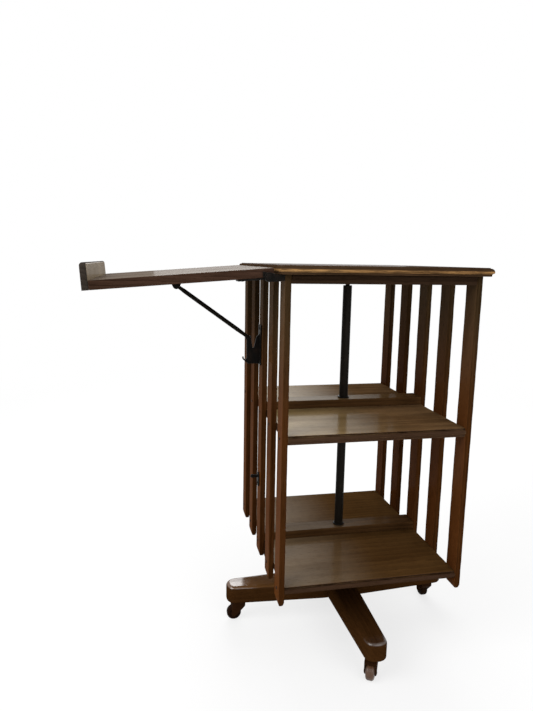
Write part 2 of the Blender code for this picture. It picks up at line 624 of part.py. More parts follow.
def add_hinge_brackets(case):
    """Iron angle brackets on the outer left slats, each with an eye for the flap's hinge pin."""
    top = TOP_BOTTOM - 2 * SEAT_GAP
    low = top - BRACKET_HEIGHT
    outer = SLAT_FACE_X - BRACKET_FLANGE_THICKNESS
    hinge = (HINGE_X, HINGE_Z)
    inner_y = END_Y - SLAT_WIDTH + BRACKET_MARGIN
    for way, side in ((-1, 'front'), (1, 'rear')):
        name = 'hinge_bracket_' + side
        arm = [(SLAT_FACE_X, low), (SLAT_FACE_X, top), (-TOP_EDGE_X - HINGE_EDGE_GAP / 4, top)]
        arm += arc(hinge, BRACKET_EYE_RADIUS, 80, 260, 10)
        arm += [(outer, low)]
        ends = sorted((way * END_Y, way * (END_Y - BRACKET_PLATE)))
        bracket = piece(name, extrude(name, arm, 'Y', *ends), IRON, case)
        ends = sorted((way * (END_Y - BRACKET_PLATE / 2), way * inner_y))
        flange = block(name + '_flange', (outer, ends[0], low), (SLAT_FACE_X, ends[1], top))
        boolean(bracket, tool(name + '_flange', flange, case), 'UNION')
        ends = (way * (END_Y - 2 * BRACKET_PLATE), way * (END_Y + BRACKET_PLATE))
        eye = HINGE_PIN_RADIUS + SEAT_GAP
        boolean(bracket, bore_tool(name + '_eye', eye, *ends, case, 'Y', PIN_STEPS, hinge))


def add_hinge_pins(case):
    """The two hinge pins with their domed heads."""
    for way, side in ((-1, 'front'), (1, 'rear')):
        name = 'hinge_pin_' + side
        profile = domed_pin(HINGE_PIN_RADIUS, way * (FLAP_END_Y + SEAT_GAP), HINGE_PIN_HEAD_RADIUS,
                            way * (END_Y + SEAT_GAP), HINGE_PIN_HEAD, way)
        piece(name, turned(name, profile, 'Y', steps=PIN_STEPS), IRON, case, (HINGE_X, 0, HINGE_Z))


def hook_points(reach, level):
    """Outer side, lip and throat of one hook of the rack, from below to the inner side of its throat."""
    centre = (reach, level)
    outer = RACK_THROAT_RADIUS + RACK_LIP
    tip = RACK_LIP / 2
    points = arc(centre, outer, -65, 0, 4)
    points += arc((reach + RACK_THROAT_RADIUS + tip, level + tip), tip, 30, 150, 3)
    points += arc(centre, RACK_THROAT_RADIUS, 0, -180, 6)
    return points


def add_rack(case):
    """The iron rack on the middle left slat: a flange, and a rib with two hooks and a notch that open upwards."""
    buried = RACK_FLANGE_THICKNESS / 2
    inner = RACK_UPPER_REACH - RACK_THROAT_RADIUS
    points = [(buried, -RACK_RIB_UNDER), (RACK_UPPER_REACH, -RACK_RIB_UNDER)]
    points += hook_points(RACK_LOWER_REACH, -RACK_HOOK_STEP)
    points += [(RACK_LOWER_REACH - RACK_THROAT_RADIUS, 2 * RACK_THROAT_RADIUS - RACK_HOOK_STEP)]
    points += hook_points(RACK_UPPER_REACH, 0.0)
    points += arc((inner - RACK_LIP / 2, RACK_LIP / 2), RACK_LIP / 2, 30, 150, 3)
    points += arc((RACK_NOTCH_REACH, RACK_NOTCH_RADIUS - RACK_NOTCH_DEPTH), RACK_NOTCH_RADIUS, -20, -170, 4)
    points += [(RACK_SHOULDER_REACH, 0.0), (buried, RACK_RIB_OVER)]
    outline = [(SLAT_FACE_X - u, HOOK_Z + v) for u, v in points]
    rack = piece('strut_rack', extrude('strut_rack', outline, 'Y', 0, RACK_RIB), IRON, case)
    half = RACK_FLANGE_WIDTH / 2
    middle = RACK_RIB / 2
    low = (SLAT_FACE_X - RACK_FLANGE_THICKNESS, middle - half, HOOK_Z - RACK_RIB_UNDER - RACK_FLANGE_UNDER)
    high = (SLAT_FACE_X, middle + half, HOOK_Z + RACK_RIB_OVER + RACK_FLANGE_OVER)
    boolean(rack, tool('rack_flange', block('rack_flange', low, high), case), 'UNION')


def add_peg(case):
    """The iron rest peg with its ball end and back plate."""
    half = PEG_PLATE_WIDTH / 2
    drop = PEG_PLATE_HEIGHT - 2 * half
    outline = arc((0, PEG_Z), half, 0, 180, 8) + arc((0, PEG_Z - drop), half, 180, 360, 8)
    plate = extrude('rest_peg', outline, 'X', SLAT_FACE_X - PEG_PLATE_THICKNESS, SLAT_FACE_X)
    peg = piece('rest_peg', plate, IRON, case)
    start = SLAT_FACE_X - PEG_PLATE_THICKNESS / 2
    ball = start - PEG_LENGTH - PEG_BALL_RADIUS
    profile = [(PEG_RADIUS, start)]
    profile += [(radius, x) for x, radius in arc((ball, 0), PEG_BALL_RADIUS, 45, 165, 4)]
    stub = turned('peg_stub', profile, 'X', steps=ROD_STEPS, centre=(0, PEG_Z))
    boolean(peg, tool('peg_stub', stub, case), 'UNION')


def add_flap(flap):
    """The flap board, and the lip across its outer end that keeps a book from sliding off."""
    mesh = block('flap_board', (FLAP_OUTER, -FLAP_END_Y, FLAP_BOTTOM), (FLAP_INNER, FLAP_END_Y, FLAP_TOP))
    board = piece('flap_board', mesh, OAK_TOP, flap)
    soften(board, FLAP_ROUND, 2)
    top = FLAP_BOTTOM + LIP_HEIGHT
    round_y = FLAP_END_Y - LIP_CORNER_RADIUS
    outline = [(-FLAP_END_Y, FLAP_BOTTOM), (FLAP_END_Y, FLAP_BOTTOM)]
    outline += arc((round_y, top - LIP_CORNER_RADIUS), LIP_CORNER_RADIUS, 0, 90, 4)
    outline += arc((-round_y, top - LIP_CORNER_RADIUS), LIP_CORNER_RADIUS, 90, 180, 4)
    outer = FLAP_OUTER - SEAT_GAP
    lip = piece('flap_lip', extrude('flap_lip', outline, 'X', outer - LIP_THICKNESS, outer), OAK_TOP, flap)
    soften(lip, FLAP_ROUND, 2)


def add_hinge_leaves(flap):
    """Iron leaves under the flap, each turned up at the flap's edge into an eye."""
    plate_top = FLAP_BOTTOM - SEAT_GAP
    plate_low = plate_top - LEAF_PLATE
    for way, side in ((-1, 'front'), (1, 'rear')):
        name = 'hinge_leaf_' + side
        outline = arc((0, 0), LEAF_EYE_RADIUS, -100, 60, 8)
        outline += [(-LEAF_EDGE_LENGTH, LEAF_UPSTAND), (-LEAF_EDGE_LENGTH, plate_low - LEAF_STEP)]
        ends = sorted((way * LEAF_FACE_Y, way * (LEAF_FACE_Y - LEAF_PLATE)))
        leaf = piece(name, extrude(name, outline, 'Y', *ends), IRON, flap)
        ends = sorted((way * (LEAF_FACE_Y - LEAF_PLATE / 2), way * (LEAF_FACE_Y - LEAF_DEPTH)))
        plate_corners = (-LEAF_LENGTH, ends[0], plate_low), (-LEAF_EYE_RADIUS, ends[1], plate_top)
        boolean(leaf, tool(name + '_plate', block(name + '_plate', *plate_corners), flap), 'UNION')
        ends = (way * (FLAP_END_Y - LEAF_PLATE), way * (LEAF_FACE_Y + LEAF_PLATE))
        eye = HINGE_PIN_RADIUS + RUNNING_GAP
        boolean(leaf, bore_tool(name + '_eye', eye, *ends, flap, 'Y', PIN_STEPS))


def add_lug(flap):
    """The lug under the flap and the pin on which the strut swings."""
    pin = LUG_PIN_LOCAL
    centre = (pin.x, pin.z)
    plate_top = FLAP_BOTTOM - SEAT_GAP
    plate_low = plate_top - LUG_PLATE
    front = LUG_BACK_Y - LUG_DEPTH
    root = plate_low + LUG_PLATE / 2
    root_half = 2 * LUG_RADIUS - LUG_CHEEK / 2
    cheek = [(pin.x - root_half, root)] + arc(centre, LUG_RADIUS, 190, 350, 8) + [(pin.x + root_half, root)]
    lug = piece('strut_lug', extrude('strut_lug', cheek, 'Y', LUG_BACK_Y - LUG_CHEEK, LUG_BACK_Y), IRON, flap)
    half = LUG_LENGTH / 2
    back = LUG_BACK_Y - LUG_CHEEK / 4
    plate = block('lug_plate', (pin.x - half, front, plate_low), (pin.x + half, back, plate_top))
    boolean(lug, tool('lug_plate', plate, flap), 'UNION')
    ends = (LUG_BACK_Y - 2 * LUG_CHEEK, LUG_BACK_Y + LUG_CHEEK)
    boolean(lug, bore_tool('lug_eye', LUG_PIN_RADIUS + SEAT_GAP, *ends, flap, 'Y', PIN_STEPS, centre))
    head_seat = LUG_BACK_Y - LUG_CHEEK - SEAT_GAP
    profile = domed_pin(LUG_PIN_RADIUS, ROD_Y + ROD_RADIUS, LUG_PIN_HEAD_RADIUS, head_seat, LUG_PIN_HEAD, -1)
    piece('lug_pin', turned('lug_pin', profile, 'Y', steps=PIN_STEPS, centre=centre), IRON, flap)


def strut_reach():
    """Vector from the lug pin to the strut's foot at the rack's upper hook, in the world."""
    cosine, sine = math.cos(FLAP_TILT), math.sin(FLAP_TILT)
    pin = LUG_PIN_LOCAL
    pin_x = HINGE_X + pin.x * cosine - pin.z * sine
    pin_z = HINGE_Z + pin.x * sine + pin.z * cosine
    return Vector((HOOK_X - pin_x, 0, HOOK_Z - pin_z))


def add_strut(strut):
    """The iron rod: an eye on the lug pin, a straight shank and a rounded foot beside the rack's hook."""
    length = strut_reach().length
    profile = [(ROD_RADIUS, 0.0)] + [(radius, x) for x, radius in arc((length, 0), ROD_RADIUS, 90, 10, 3)]
    rod = piece('strut_rod', turned('strut_rod', profile, 'X', steps=ROD_STEPS), IRON, strut)
    face = ROD_RADIUS - ROD_EYE_STEP
    boolean(rod, bore_tool('rod_eye', ROD_EYE_RADIUS, -face, face, strut, 'Y', PIN_STEPS), 'UNION')
    hole = LUG_PIN_RADIUS + RUNNING_GAP
    boolean(rod, bore_tool('rod_hole', hole, -2 * face, 2 * face, strut, 'Y', PIN_STEPS))


def main():
    """Build the bookcase from the floor upwards."""
    clear_scene()
    add_base_arms()
    add_spindle()
    add_socket()
    for side, swivel, turn in castor_places():
        add_castor(side, swivel, turn)

    case = axis_empty('case_axis')
    passage = bore_tool('spindle_passage', SPINDLE_PASS, ARM_TOP, RAIL_BOTTOM, case)
    add_shelf('bottom_shelf', BOTTOM_SHELF_TOP, BOTTOM_SHELF_THICKNESS, passage, case)
    add_shelf('middle_shelf', MIDDLE_SHELF_TOP, MIDDLE_SHELF_THICKNESS, passage, case)
    add_book_stop('bottom', BOTTOM_SHELF_TOP, passage, case)
    add_book_stop('middle', MIDDLE_SHELF_TOP, passage, case)
    add_battens(passage, case)
    add_top(case)
    add_slats(case)
    add_hinge_brackets(case)
    add_hinge_pins(case)
    add_rack(case)
    add_peg(case)

    flap = axis_empty('flap_axis', case, (HINGE_X, 0, HINGE_Z), (0, -FLAP_TILT, 0))
    add_flap(flap)
    add_hinge_leaves(flap)
    add_lug(flap)

    reach = strut_reach()
    fall = math.atan2(-reach.z, reach.x)
    strut = axis_empty('strut_axis', flap, LUG_PIN_LOCAL, (0, fall + FLAP_TILT, 0))
    add_strut(strut)


main()
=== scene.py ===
# %% [markdown]
# # A revolving bookcase, dressed for the camera
# The solids of the bookcase come packed as a fixed frame: every board, iron and castor at its real size
# and place, in metres, with +Z up and the floor at zero. This lesson gives them their looks. It rebuilds
# the boards with fine mouldings and worn edges, adds the screws, and paints oak, iron and brass with
# nodes. Nothing is moved or resized.

# %% Load the frame
import json
import math
from types import SimpleNamespace
import bmesh
import bpy
from mathutils import Matrix, Vector, noise

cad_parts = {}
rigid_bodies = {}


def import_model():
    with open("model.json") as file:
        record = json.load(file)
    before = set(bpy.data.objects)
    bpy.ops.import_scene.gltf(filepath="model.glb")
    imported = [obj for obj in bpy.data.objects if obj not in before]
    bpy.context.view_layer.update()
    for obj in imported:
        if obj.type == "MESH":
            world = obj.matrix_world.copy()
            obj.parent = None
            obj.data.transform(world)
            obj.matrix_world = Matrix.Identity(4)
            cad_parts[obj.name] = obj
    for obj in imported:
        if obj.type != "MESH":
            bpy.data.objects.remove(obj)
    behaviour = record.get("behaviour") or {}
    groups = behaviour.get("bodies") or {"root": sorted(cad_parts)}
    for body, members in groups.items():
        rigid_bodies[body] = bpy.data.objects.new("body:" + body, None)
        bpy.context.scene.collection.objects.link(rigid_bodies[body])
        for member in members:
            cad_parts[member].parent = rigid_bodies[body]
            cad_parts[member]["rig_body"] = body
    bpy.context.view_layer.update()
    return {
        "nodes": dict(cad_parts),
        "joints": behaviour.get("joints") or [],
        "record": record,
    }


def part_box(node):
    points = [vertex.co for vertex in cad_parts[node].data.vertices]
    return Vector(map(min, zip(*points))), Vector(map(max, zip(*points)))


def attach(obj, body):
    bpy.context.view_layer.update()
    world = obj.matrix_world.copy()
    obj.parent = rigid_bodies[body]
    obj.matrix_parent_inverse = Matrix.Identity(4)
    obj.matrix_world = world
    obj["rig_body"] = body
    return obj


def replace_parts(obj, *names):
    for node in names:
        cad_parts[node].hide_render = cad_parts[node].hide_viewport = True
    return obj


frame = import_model()

# %% [markdown]
# ## The camera
# The photograph was taken from the front, a little to the left and just above the top, with the camera
# tipped down. A camera could be placed by eye, but here its place and its three turns were worked out
# from the edges of the shelves and slats, so the picture lines up with the photograph. The lens is given
# as a focal length in pixels.

# %% Place the camera
PICTURE_HEIGHT = 711
FOCAL_PIXELS = 573.235
FILM_HEIGHT = 36
YAW = 0.2022
PITCH = -0.1653
ROLL = 0.0165
EYE = Vector((-0.4394, -1.2424, 0.8484))


def add_camera():
    """A camera at the photograph's place: yaw from +Y to the right, then pitch, then roll."""
    ahead = Vector((math.sin(YAW) * math.cos(PITCH), math.cos(YAW) * math.cos(PITCH), math.sin(PITCH)))
    level = Vector((math.cos(YAW), -math.sin(YAW), 0))
    upright = level.cross(ahead)
    across = math.cos(ROLL) * level + math.sin(ROLL) * upright
    up = math.cos(ROLL) * upright - math.sin(ROLL) * level
    lens = bpy.data.cameras.new("camera")
    lens.sensor_fit = 'VERTICAL'
    lens.sensor_height = FILM_HEIGHT
    lens.lens = FOCAL_PIXELS / PICTURE_HEIGHT * FILM_HEIGHT
    camera = bpy.data.objects.new("camera", lens)
    camera.matrix_world = Matrix((across, up, -ahead)).transposed().to_4x4()
    camera.location = EYE
    bpy.context.scene.collection.objects.link(camera)
    bpy.context.scene.camera = camera
    return camera


camera = add_camera()
bpy.context.scene.view_settings.view_transform = 'Standard'
print("camera: lens", round(camera.data.lens, 1), "mm at", tuple(round(v, 3) for v in camera.location))

# %% [markdown]
# ## Sockets that can be reckoned with
# A finish is a small sum: pores darken, wear brightens, gloss follows both. Wiring each Math node by hand
# hides that sum. So one class wraps a socket, and plain Python arithmetic on it adds the Math nodes.
# Colours and vectors have helpers of their own, because a Math node would turn a colour grey.

# %% Wrap a socket


class Wire:
    """A socket of a shader tree. Arithmetic on it adds Math nodes to the same tree."""

    def __init__(self, tree, socket=None):
        self.tree = tree
        self.socket = socket

    def node(self, kind, settings=None, inputs=None, output=0):
        """Add any node: its type, then its settings, then the values or links of its sockets."""
        made = self.tree.nodes.new('ShaderNode' + kind)
        for key, value in (settings or {}).items():
            setattr(made, key, value)
        for key, value in (inputs or {}).items():
            if isinstance(value, Wire):
                self.tree.links.new(value.socket, made.inputs[key])
            else:
                made.inputs[key].default_value = value
        return Wire(self.tree, made.outputs[output] if made.outputs else None)

    def reckon(self, operation, first, second):
        """A Math node on two values."""
        return self.node('Math', {'operation': operation}, {0: first, 1: second})

    def __add__(self, other):
        return self.reckon('ADD', self, other)

    def __sub__(self, other):
        return self.reckon('SUBTRACT', self, other)

    def __rsub__(self, other):
        return self.reckon('SUBTRACT', other, self)

    def __mul__(self, other):
        return self.reckon('MULTIPLY', self, other)

    __radd__ = __add__
    __rmul__ = __mul__

    def held(self):
        """The value kept between 0 and 1."""
        return self.node('Math', {'operation': 'ADD', 'use_clamp': True}, {0: self, 1: 0.0})

    def between(self, low, high):
        """0 below one value, 1 above another, smooth in between."""
        return self.node('MapRange', {'interpolation_type': 'SMOOTHSTEP'},
                         {'Value': self, 'From Min': low, 'From Max': high})

    def tint(self, first, second, way='MIX'):
        """A colour mixed from two by this value."""
        colours = [c if isinstance(c, Wire) else (*c, 1) for c in (first, second)]
        return self.node('Mix', {'data_type': 'RGBA', 'blend_type': way},
                         {0: self, 6: colours[0], 7: colours[1]}, 2)

    def part(self, axis):
        """One coordinate of a vector."""
        return self.node('SeparateXYZ', None, {0: self}, axis)

    def scaled(self, factors):
        """A vector stretched by three factors."""
        return self.node('VectorMath', {'operation': 'MULTIPLY'}, {0: self, 1: factors})

    def moved(self, offset):
        """A vector moved by another."""
        return self.node('VectorMath', {'operation': 'ADD'}, {0: self, 1: offset})

    def noise(self, scale, detail=2.0, rough=0.5, warp=0.0):
        """Soft noise over this vector."""
        return self.node('TexNoise', None, {'Vector': self, 'Scale': scale, 'Detail': detail,
                                            'Roughness': rough, 'Distortion': warp})


print("a wrapped socket adds Math nodes for +, - and *")

# %% Open and close a finish


def new_finish(name):
    """An empty material, and the start of its shader tree."""
    material = bpy.data.materials.new(name)
    material.use_nodes = True
    material.node_tree.nodes.clear()
    return material, Wire(material.node_tree)


def close_finish(material, start, **sockets):
    """Feed a Principled shader and the output. A name's underscores stand for spaces."""
    inputs = {key.replace('_', ' '): value for key, value in sockets.items()}
    shader = start.node('BsdfPrincipled', None, inputs)
    start.node('OutputMaterial', None, {'Surface': shader})
    return material


print("a finish opens empty and closes with a Principled shader")

# %% [markdown]
# ## Light and world
# The real bookcase was cut out on white, in the even light of a room with a window at its left. A studio
# copies that with a white world and three soft lamps. One strong lamp would be simpler, but it would draw
# hard shadows. The world is white to the camera and in reflections, so that the polish shows it, but it
# lights the wood at a plain level.

# %% Light the studio
WORLD_LEVEL = 0.62
LAMPS = {
    "window_lamp": {"place": (-2.2, -0.9, 2.1), "size": 1.8, "watts": 46, "aim": (0, 0, 0.45)},
    "room_lamp": {"place": (0.9, -2.6, 1.9), "size": 2.2, "watts": 34, "aim": (0, 0, 0.35)},
    "back_lamp": {"place": (0.4, 2.4, 1.7), "size": 1.8, "watts": 48, "aim": (0, 0, 0.4)},
}


def seen_by(start, *rays):
    """1 for the named kinds of ray, 0 for the others."""
    total = start.node('LightPath', None, None, f'Is {rays[0]} Ray')
    for ray in rays[1:]:
        total = total + start.node('LightPath', None, None, f'Is {ray} Ray')
    return total.held()


def light_world():
    """A white world that lights at WORLD_LEVEL and is full white to the camera and in reflections."""
    world = bpy.data.worlds.new("studio")
    bpy.context.scene.world = world
    world.use_nodes = True
    world.node_tree.nodes.clear()
    start = Wire(world.node_tree)
    level = seen_by(start, 'Camera', 'Glossy', 'Transmission') * (1 - WORLD_LEVEL) + WORLD_LEVEL
    sky = start.node('Background', None, {'Color': (1, 1, 1, 1), 'Strength': level})
    start.node('OutputWorld', None, {'Surface': sky})


def add_lamp(name, place, size, watts, aim):
    """A square soft lamp turned to a point."""
    lamp = bpy.data.lights.new(name, 'AREA')
    lamp.size = size
    lamp.energy = watts
    item = bpy.data.objects.new(name, lamp)
    item.location = place
    item.rotation_euler = (Vector(aim) - Vector(place)).to_track_quat('-Z', 'Y').to_euler()
    bpy.context.scene.collection.objects.link(item)


light_world()
for lamp_name, lamp_values in LAMPS.items():
    add_lamp(lamp_name, **lamp_values)
print("studio:", len(LAMPS), "lamps and a white world")

# %% [markdown]
# ## The floor
# The bookcase stands on a plain pale floor, which takes a soft shadow. A matt floor alone would be grey
# against the white world and show a horizon. So the camera sees some plain white mixed into it, all of it
# far out, and the shadow stays near the castors.

# %% Lay the floor
FLOOR_HALF = 9.0
FLOOR_TONE = (0.86, 0.86, 0.86, 1)
FLOOR_WHITE = 0.72
WHITE_FROM = 0.7
WHITE_TO = 3.2


def floor_finish():
    """Matt pale grey. The camera sees a share of plain white in it, and only white far out."""
    material, start = new_finish("pale_floor")
    matt = start.node('BsdfDiffuse', None, {'Color': FLOOR_TONE})
    white = start.node('Emission', None, {'Color': (1, 1, 1, 1), 'Strength': 1.0})
    spot = start.node('TexCoord', None, None, 'Object')
    far = start.node('VectorMath', {'operation': 'LENGTH'}, {0: spot}, 1).between(WHITE_FROM, WHITE_TO)
    share = seen_by(start, 'Camera', 'Glossy') * (FLOOR_WHITE + far * (1 - FLOOR_WHITE))
    mixed = start.node('MixShader', None, {0: share, 1: matt, 2: white})
    start.node('OutputMaterial', None, {'Surface': mixed})
    return material


def add_floor():
    """One wide square at the height of the castors' feet."""
    mesh = bpy.data.meshes.new("floor")
    corners = [(x * FLOOR_HALF, y * FLOOR_HALF, 0) for x, y in ((-1, -1), (1, -1), (1, 1), (-1, 1))]
    mesh.from_pydata(corners, [], [(0, 1, 2, 3)])
    mesh.materials.append(floor_finish())
    floor = bpy.data.objects.new("floor", mesh)
    bpy.context.scene.collection.objects.link(floor)
    return floor


floor = add_floor()
print("floor:", floor.name, 2 * FLOOR_HALF, "m wide")

# %% [markdown]
# ## Oak: the figure of a board
# The boards are oak under a dark red-brown stain. Oak shows wide growth rings, fine lines and short dark
# pores that run with the grain, and old polish lies on it in patches and smears. A picture of wood would
# be easy, but it repeats and has no depth. Here the rings are a Wave texture about the log's heart, which
# lies at a different place for each board, and the rest is noise drawn out along the grain.

# %% Draw the figure
LONG = {'X': (1, 0, 0), 'Y': (0, 1, 0), 'Z': (0, 0, 1)}
HEART_SPREAD = (0.9, 0.7, 0.8)
RINGS = {'Scale': 34.0, 'Distortion': 5.0, 'Detail': 3.0, 'Detail Scale': 1.6, 'Detail Roughness': 0.55}
RING_DRAW = (0.07, 1.0)
FINE_DRAW = (14.0, 420.0)
PORE_DRAW = (55.0, 1500.0)
PORE_LEVELS = (0.58, 0.72)
SMEAR_DRAW = (3.0, 14.0)


def drawn(vector, axis, draw):
    """A vector scaled along the grain by one factor and across it by another."""
    along, across = draw
    return vector.scaled(tuple(along if share else across for share in LONG[axis]))


def figure_of(start, axis):
    """What changes over an oak board with its grain along an axis."""
    spot = start.node('TexCoord', None, None, 'Object')
    chance = start.node('ObjectInfo', None, None, 'Random')
    heart = start.node('VectorMath', {'operation': 'SCALE'}, {0: HEART_SPREAD, 'Scale': chance})
    board = spot.moved(heart)
    rings = start.node('TexWave', {'wave_type': 'RINGS', 'rings_direction': axis, 'wave_profile': 'SAW'},
                       {'Vector': drawn(board, axis, RING_DRAW), **RINGS})
    fine = drawn(board, axis, FINE_DRAW).noise(1.0, 3.0, 0.6)
    pores = drawn(board, axis, PORE_DRAW).noise(1.0, 1.0, 0.5).between(*PORE_LEVELS)
    patch = board.noise(5.0, 3.0, 0.6, 0.4)
    smear = drawn(board, axis, SMEAR_DRAW).noise(1.0, 4.0, 0.6)
    return SimpleNamespace(axis=axis, spot=spot, chance=chance, board=board, rings=rings, fine=fine,
                           pores=pores, patch=patch, smear=smear)


print("figure: rings, fine lines, pores, patches and smears")

# %% [markdown]
# ## Oak: edges, broad faces and painted bands
# Hands rub the edges pale. A painted sheen and the polish mark the broad faces, painted shade darkens the
# quirk of the shelves, and a painted gold highlight runs along the nose of the top. Each could be painted
# by hand. Instead, the Bevel node finds the edges, because its normal turns away from the face's own
# there.
# The way a face looks tells a broad face from the others, and a band lies between two heights.

# %% Find edges, faces and bands
EDGE_TURN = (0.01, 0.16)
# Noise that breaks the painted bands along the grain.
BREAK_DRAW = (26.0, 300.0)
BREAK_LEVELS = (0.38, 0.60)
BREAK_LEAST = 0.25
BAND_FOOT = (-0.0006, 0.0008)
BAND_HEAD = (0.0012, -0.0010)


def edge_mask(start, reach):
    """1 along convex and concave edges, 0 on flat faces."""
    rounded = start.node('Bevel', {'samples': 4}, {'Radius': reach})
    facing = start.node('NewGeometry', None, None, 'Normal')
    turn = start.node('VectorMath', {'operation': 'DOT_PRODUCT'}, {0: rounded, 1: facing}, 1)
    return (1 - turn).between(*EDGE_TURN)


def broad_mask(start, faces, turn):
    """1 on faces that look along an axis; a plus before the axis leaves out the other side."""
    facing = start.node('TexCoord', None, None, 'Normal').part(faces[-1])
    if faces[0] != '+':
        facing = facing.reckon('ABSOLUTE', facing, 0.0)
    return facing.between(*turn)


def painted_band(figure, low, high):
    """A band between two heights for painted shade and painted highlights, broken along the grain by
    noise.
    """
    level = figure.spot.part('Z')
    band = level.between(*(low + soft for soft in BAND_FOOT))
    band = band * level.between(*(high + soft for soft in BAND_HEAD))
    breaks = drawn(figure.board, figure.axis, BREAK_DRAW).noise(1.0, 4.0, 0.65).between(*BREAK_LEVELS)
    return band * (BREAK_LEAST + breaks * (1 - BREAK_LEAST))


print("masks: edges, broad faces and rubbed bands")

# %% [markdown]
# ## Oak: stain, painted light, wear and polish
# A finisher stains the wood, books and hands wear it, and a coat of polish is left on the faces that were
# rubbed. Over the stain, light is painted in: a paler sheen on broad faces, a grey sheen aloft, and bands
# of painted shade and highlight. One fixed colour per board would look like plastic. The function lays
# these on in order, and each step is a mix by one of the masks. The gloss is the shader's coat, only on
# the broad faces, because bare stained wood hardly shines.

# %% Stain and polish the oak
OAK_EDGE = 0.0022
EDGE_LEVELS = (0.35, 0.62)
EDGE_LIFT = 1.6
EDGE_PALER = 0.004
SMEAR_LEVELS = (0.42, 0.7)
SMEAR_STAIN = (0.74, 0.70, 0.66)
PORE_STAIN = (0.32, 0.26, 0.22)
OAK_BUMP = {'Strength': 0.22, 'Distance': 0.0006}


def oak(name, axis, tones, gloss, polish, worn=0.3, faces='+Z', turn=(0.7, 0.95), painted_sheen=None, span=None,
        sheen_aloft=None, sides=None, painted=None, coat_ior=1.5, coat_rough=0.17):
    """Stained oak with its grain along an axis.
    tones: the dark and the light stain. gloss: roughness. worn: the rubbing of the edges.
    polish: the coat on the broad faces. faces and turn: the axis those look along, and how nearly.
    painted_sheen: a paler colour painted on them, a painted sheen where light and its reflection fall.
    span: an axis and two places on it, between which the painted sheen and the polish come in.
    sheen_aloft: two heights, and the factors by which the wood is painted greyer above them, a painted
    sheen.
    sides: the tone of the other faces.
    painted: two heights, and the colour of painted light between them: painted shade or a painted
    highlight."""
    dark, light = tones
    material, start = new_finish(name)
    figure = figure_of(start, axis)
    broad = broad_mask(start, faces, turn)
    shown = broad * figure.spot.part(span[0]).between(*span[1:]) if span else broad
    tone = figure.rings * 0.30 + figure.fine * 0.55 + figure.patch * 0.6 - 0.26
    wood = (tone + (figure.chance - 0.5) * 0.16).held().tint(dark, light)
    # Painted sheen: a paler colour laid on the broad faces, where light and its reflection fall.
    if painted_sheen:
        wood = (shown * (0.55 + figure.patch * 0.6)).held().tint(wood, painted_sheen)
    if sides:
        wood = ((1 - broad) * (0.6 + figure.fine * 0.5)).held().tint(wood, sides)
    # Painted sheen: the wood is painted greyer above a height, where the window's sheen falls.
    if sheen_aloft:
        wood = figure.spot.part('Z').between(*sheen_aloft[:2]).tint(wood, sheen_aloft[2], 'MULTIPLY')
    # A band of painted light between two heights: shade in a quirk, a highlight on a nose.
    if painted:
        wood = painted_band(figure, *painted[:2]).tint(wood, painted[2])
    wood = figure.smear.between(*SMEAR_LEVELS).tint(wood, SMEAR_STAIN, 'MULTIPLY')
    wood = (figure.pores * 0.7).tint(wood, PORE_STAIN, 'MULTIPLY')
    edge = edge_mask(start, OAK_EDGE) * figure.board.noise(60.0, 3.0, 0.65).between(*EDGE_LEVELS)
    wood = (edge * worn).tint(wood, tuple(EDGE_LIFT * c + EDGE_PALER for c in light))
    rough = gloss + (figure.smear - 0.5) * 0.22 + figure.pores * 0.22 + edge * 0.12
    coat = polish * shown * (1 - figure.pores * 0.5) * (0.6 + figure.smear.between(0.75, 0.35) * 0.4)
    height = figure.rings * 0.12 + figure.fine * 0.22 - figure.pores * 0.6
    height = height + figure.board.noise(18.0, 1.0) * 0.8
    bumps = start.node('Bump', None, {**OAK_BUMP, 'Height': height})
    return close_finish(material, start, Base_Color=wood, Roughness=rough.held(), Normal=bumps,
                        Coat_Weight=coat.held(), Coat_Roughness=coat_rough, Coat_IOR=coat_ior,
                        Specular_IOR_Level=0.0)


print("oak is stained, worn and polished in that order")

# %% [markdown]
# ## The oaks of this bookcase
# The boards were cut from one kind of oak, and light is painted into their colour. The slats are painted
# paler on their outer faces and greyer aloft, as a painted sheen. The shelves, stops, flap, the lip's
# inner face and the long arm's top carry a painted sheen, on the shelves and stops towards the window.
# The bottom shelf and its stop are shaded copies, with painted shade. The base is dark and glossy. One
# material with many switches would be hard to read, so each kind of board has a finish of its own from
# the same function.
# The quirk of the shelves, a thin groove under their upper edge, is painted dark as shade, and the top's
# nose gets a painted gold highlight.

# %% Choose the tones
SLAT_TONES = (0.0125, 0.0042, 0.0011), (0.078, 0.0280, 0.0074)
SHELF_TONES = (0.050, 0.0260, 0.0110), (0.225, 0.127, 0.0560)
# Painted shade: the bottom shelf's tones are darker than the middle shelf's, because it gets less light.
SHADED_SHELF_TONES = (0.034, 0.0158, 0.0052), (0.096, 0.047, 0.0146)
STOP_TONES = (0.020, 0.0088, 0.0032), (0.095, 0.046, 0.0165)
TOP_TONES = (0.0140, 0.0080, 0.0042), (0.078, 0.0440, 0.0230)
FLAP_TONES = (0.0155, 0.0078, 0.0048), (0.078, 0.0410, 0.0270)
LIP_TONES = (0.0125, 0.0098, 0.0080), (0.062, 0.0500, 0.0410)
BASE_TONES = (0.0265, 0.0106, 0.0031), (0.054, 0.0226, 0.0066)
RAIL_TONES = (0.0085, 0.0045, 0.0026), (0.046, 0.026, 0.0150)
SHELF_SIDES = (0.038, 0.0205, 0.0132)
# Painted shade in the quirk of the shelves.
QUIRK_SHADE = (0.0085, 0.0036, 0.0018)
# A painted gold highlight along the nose of the top.
GOLD_NOSE_HIGHLIGHT = (0.345, 0.190, 0.0720)
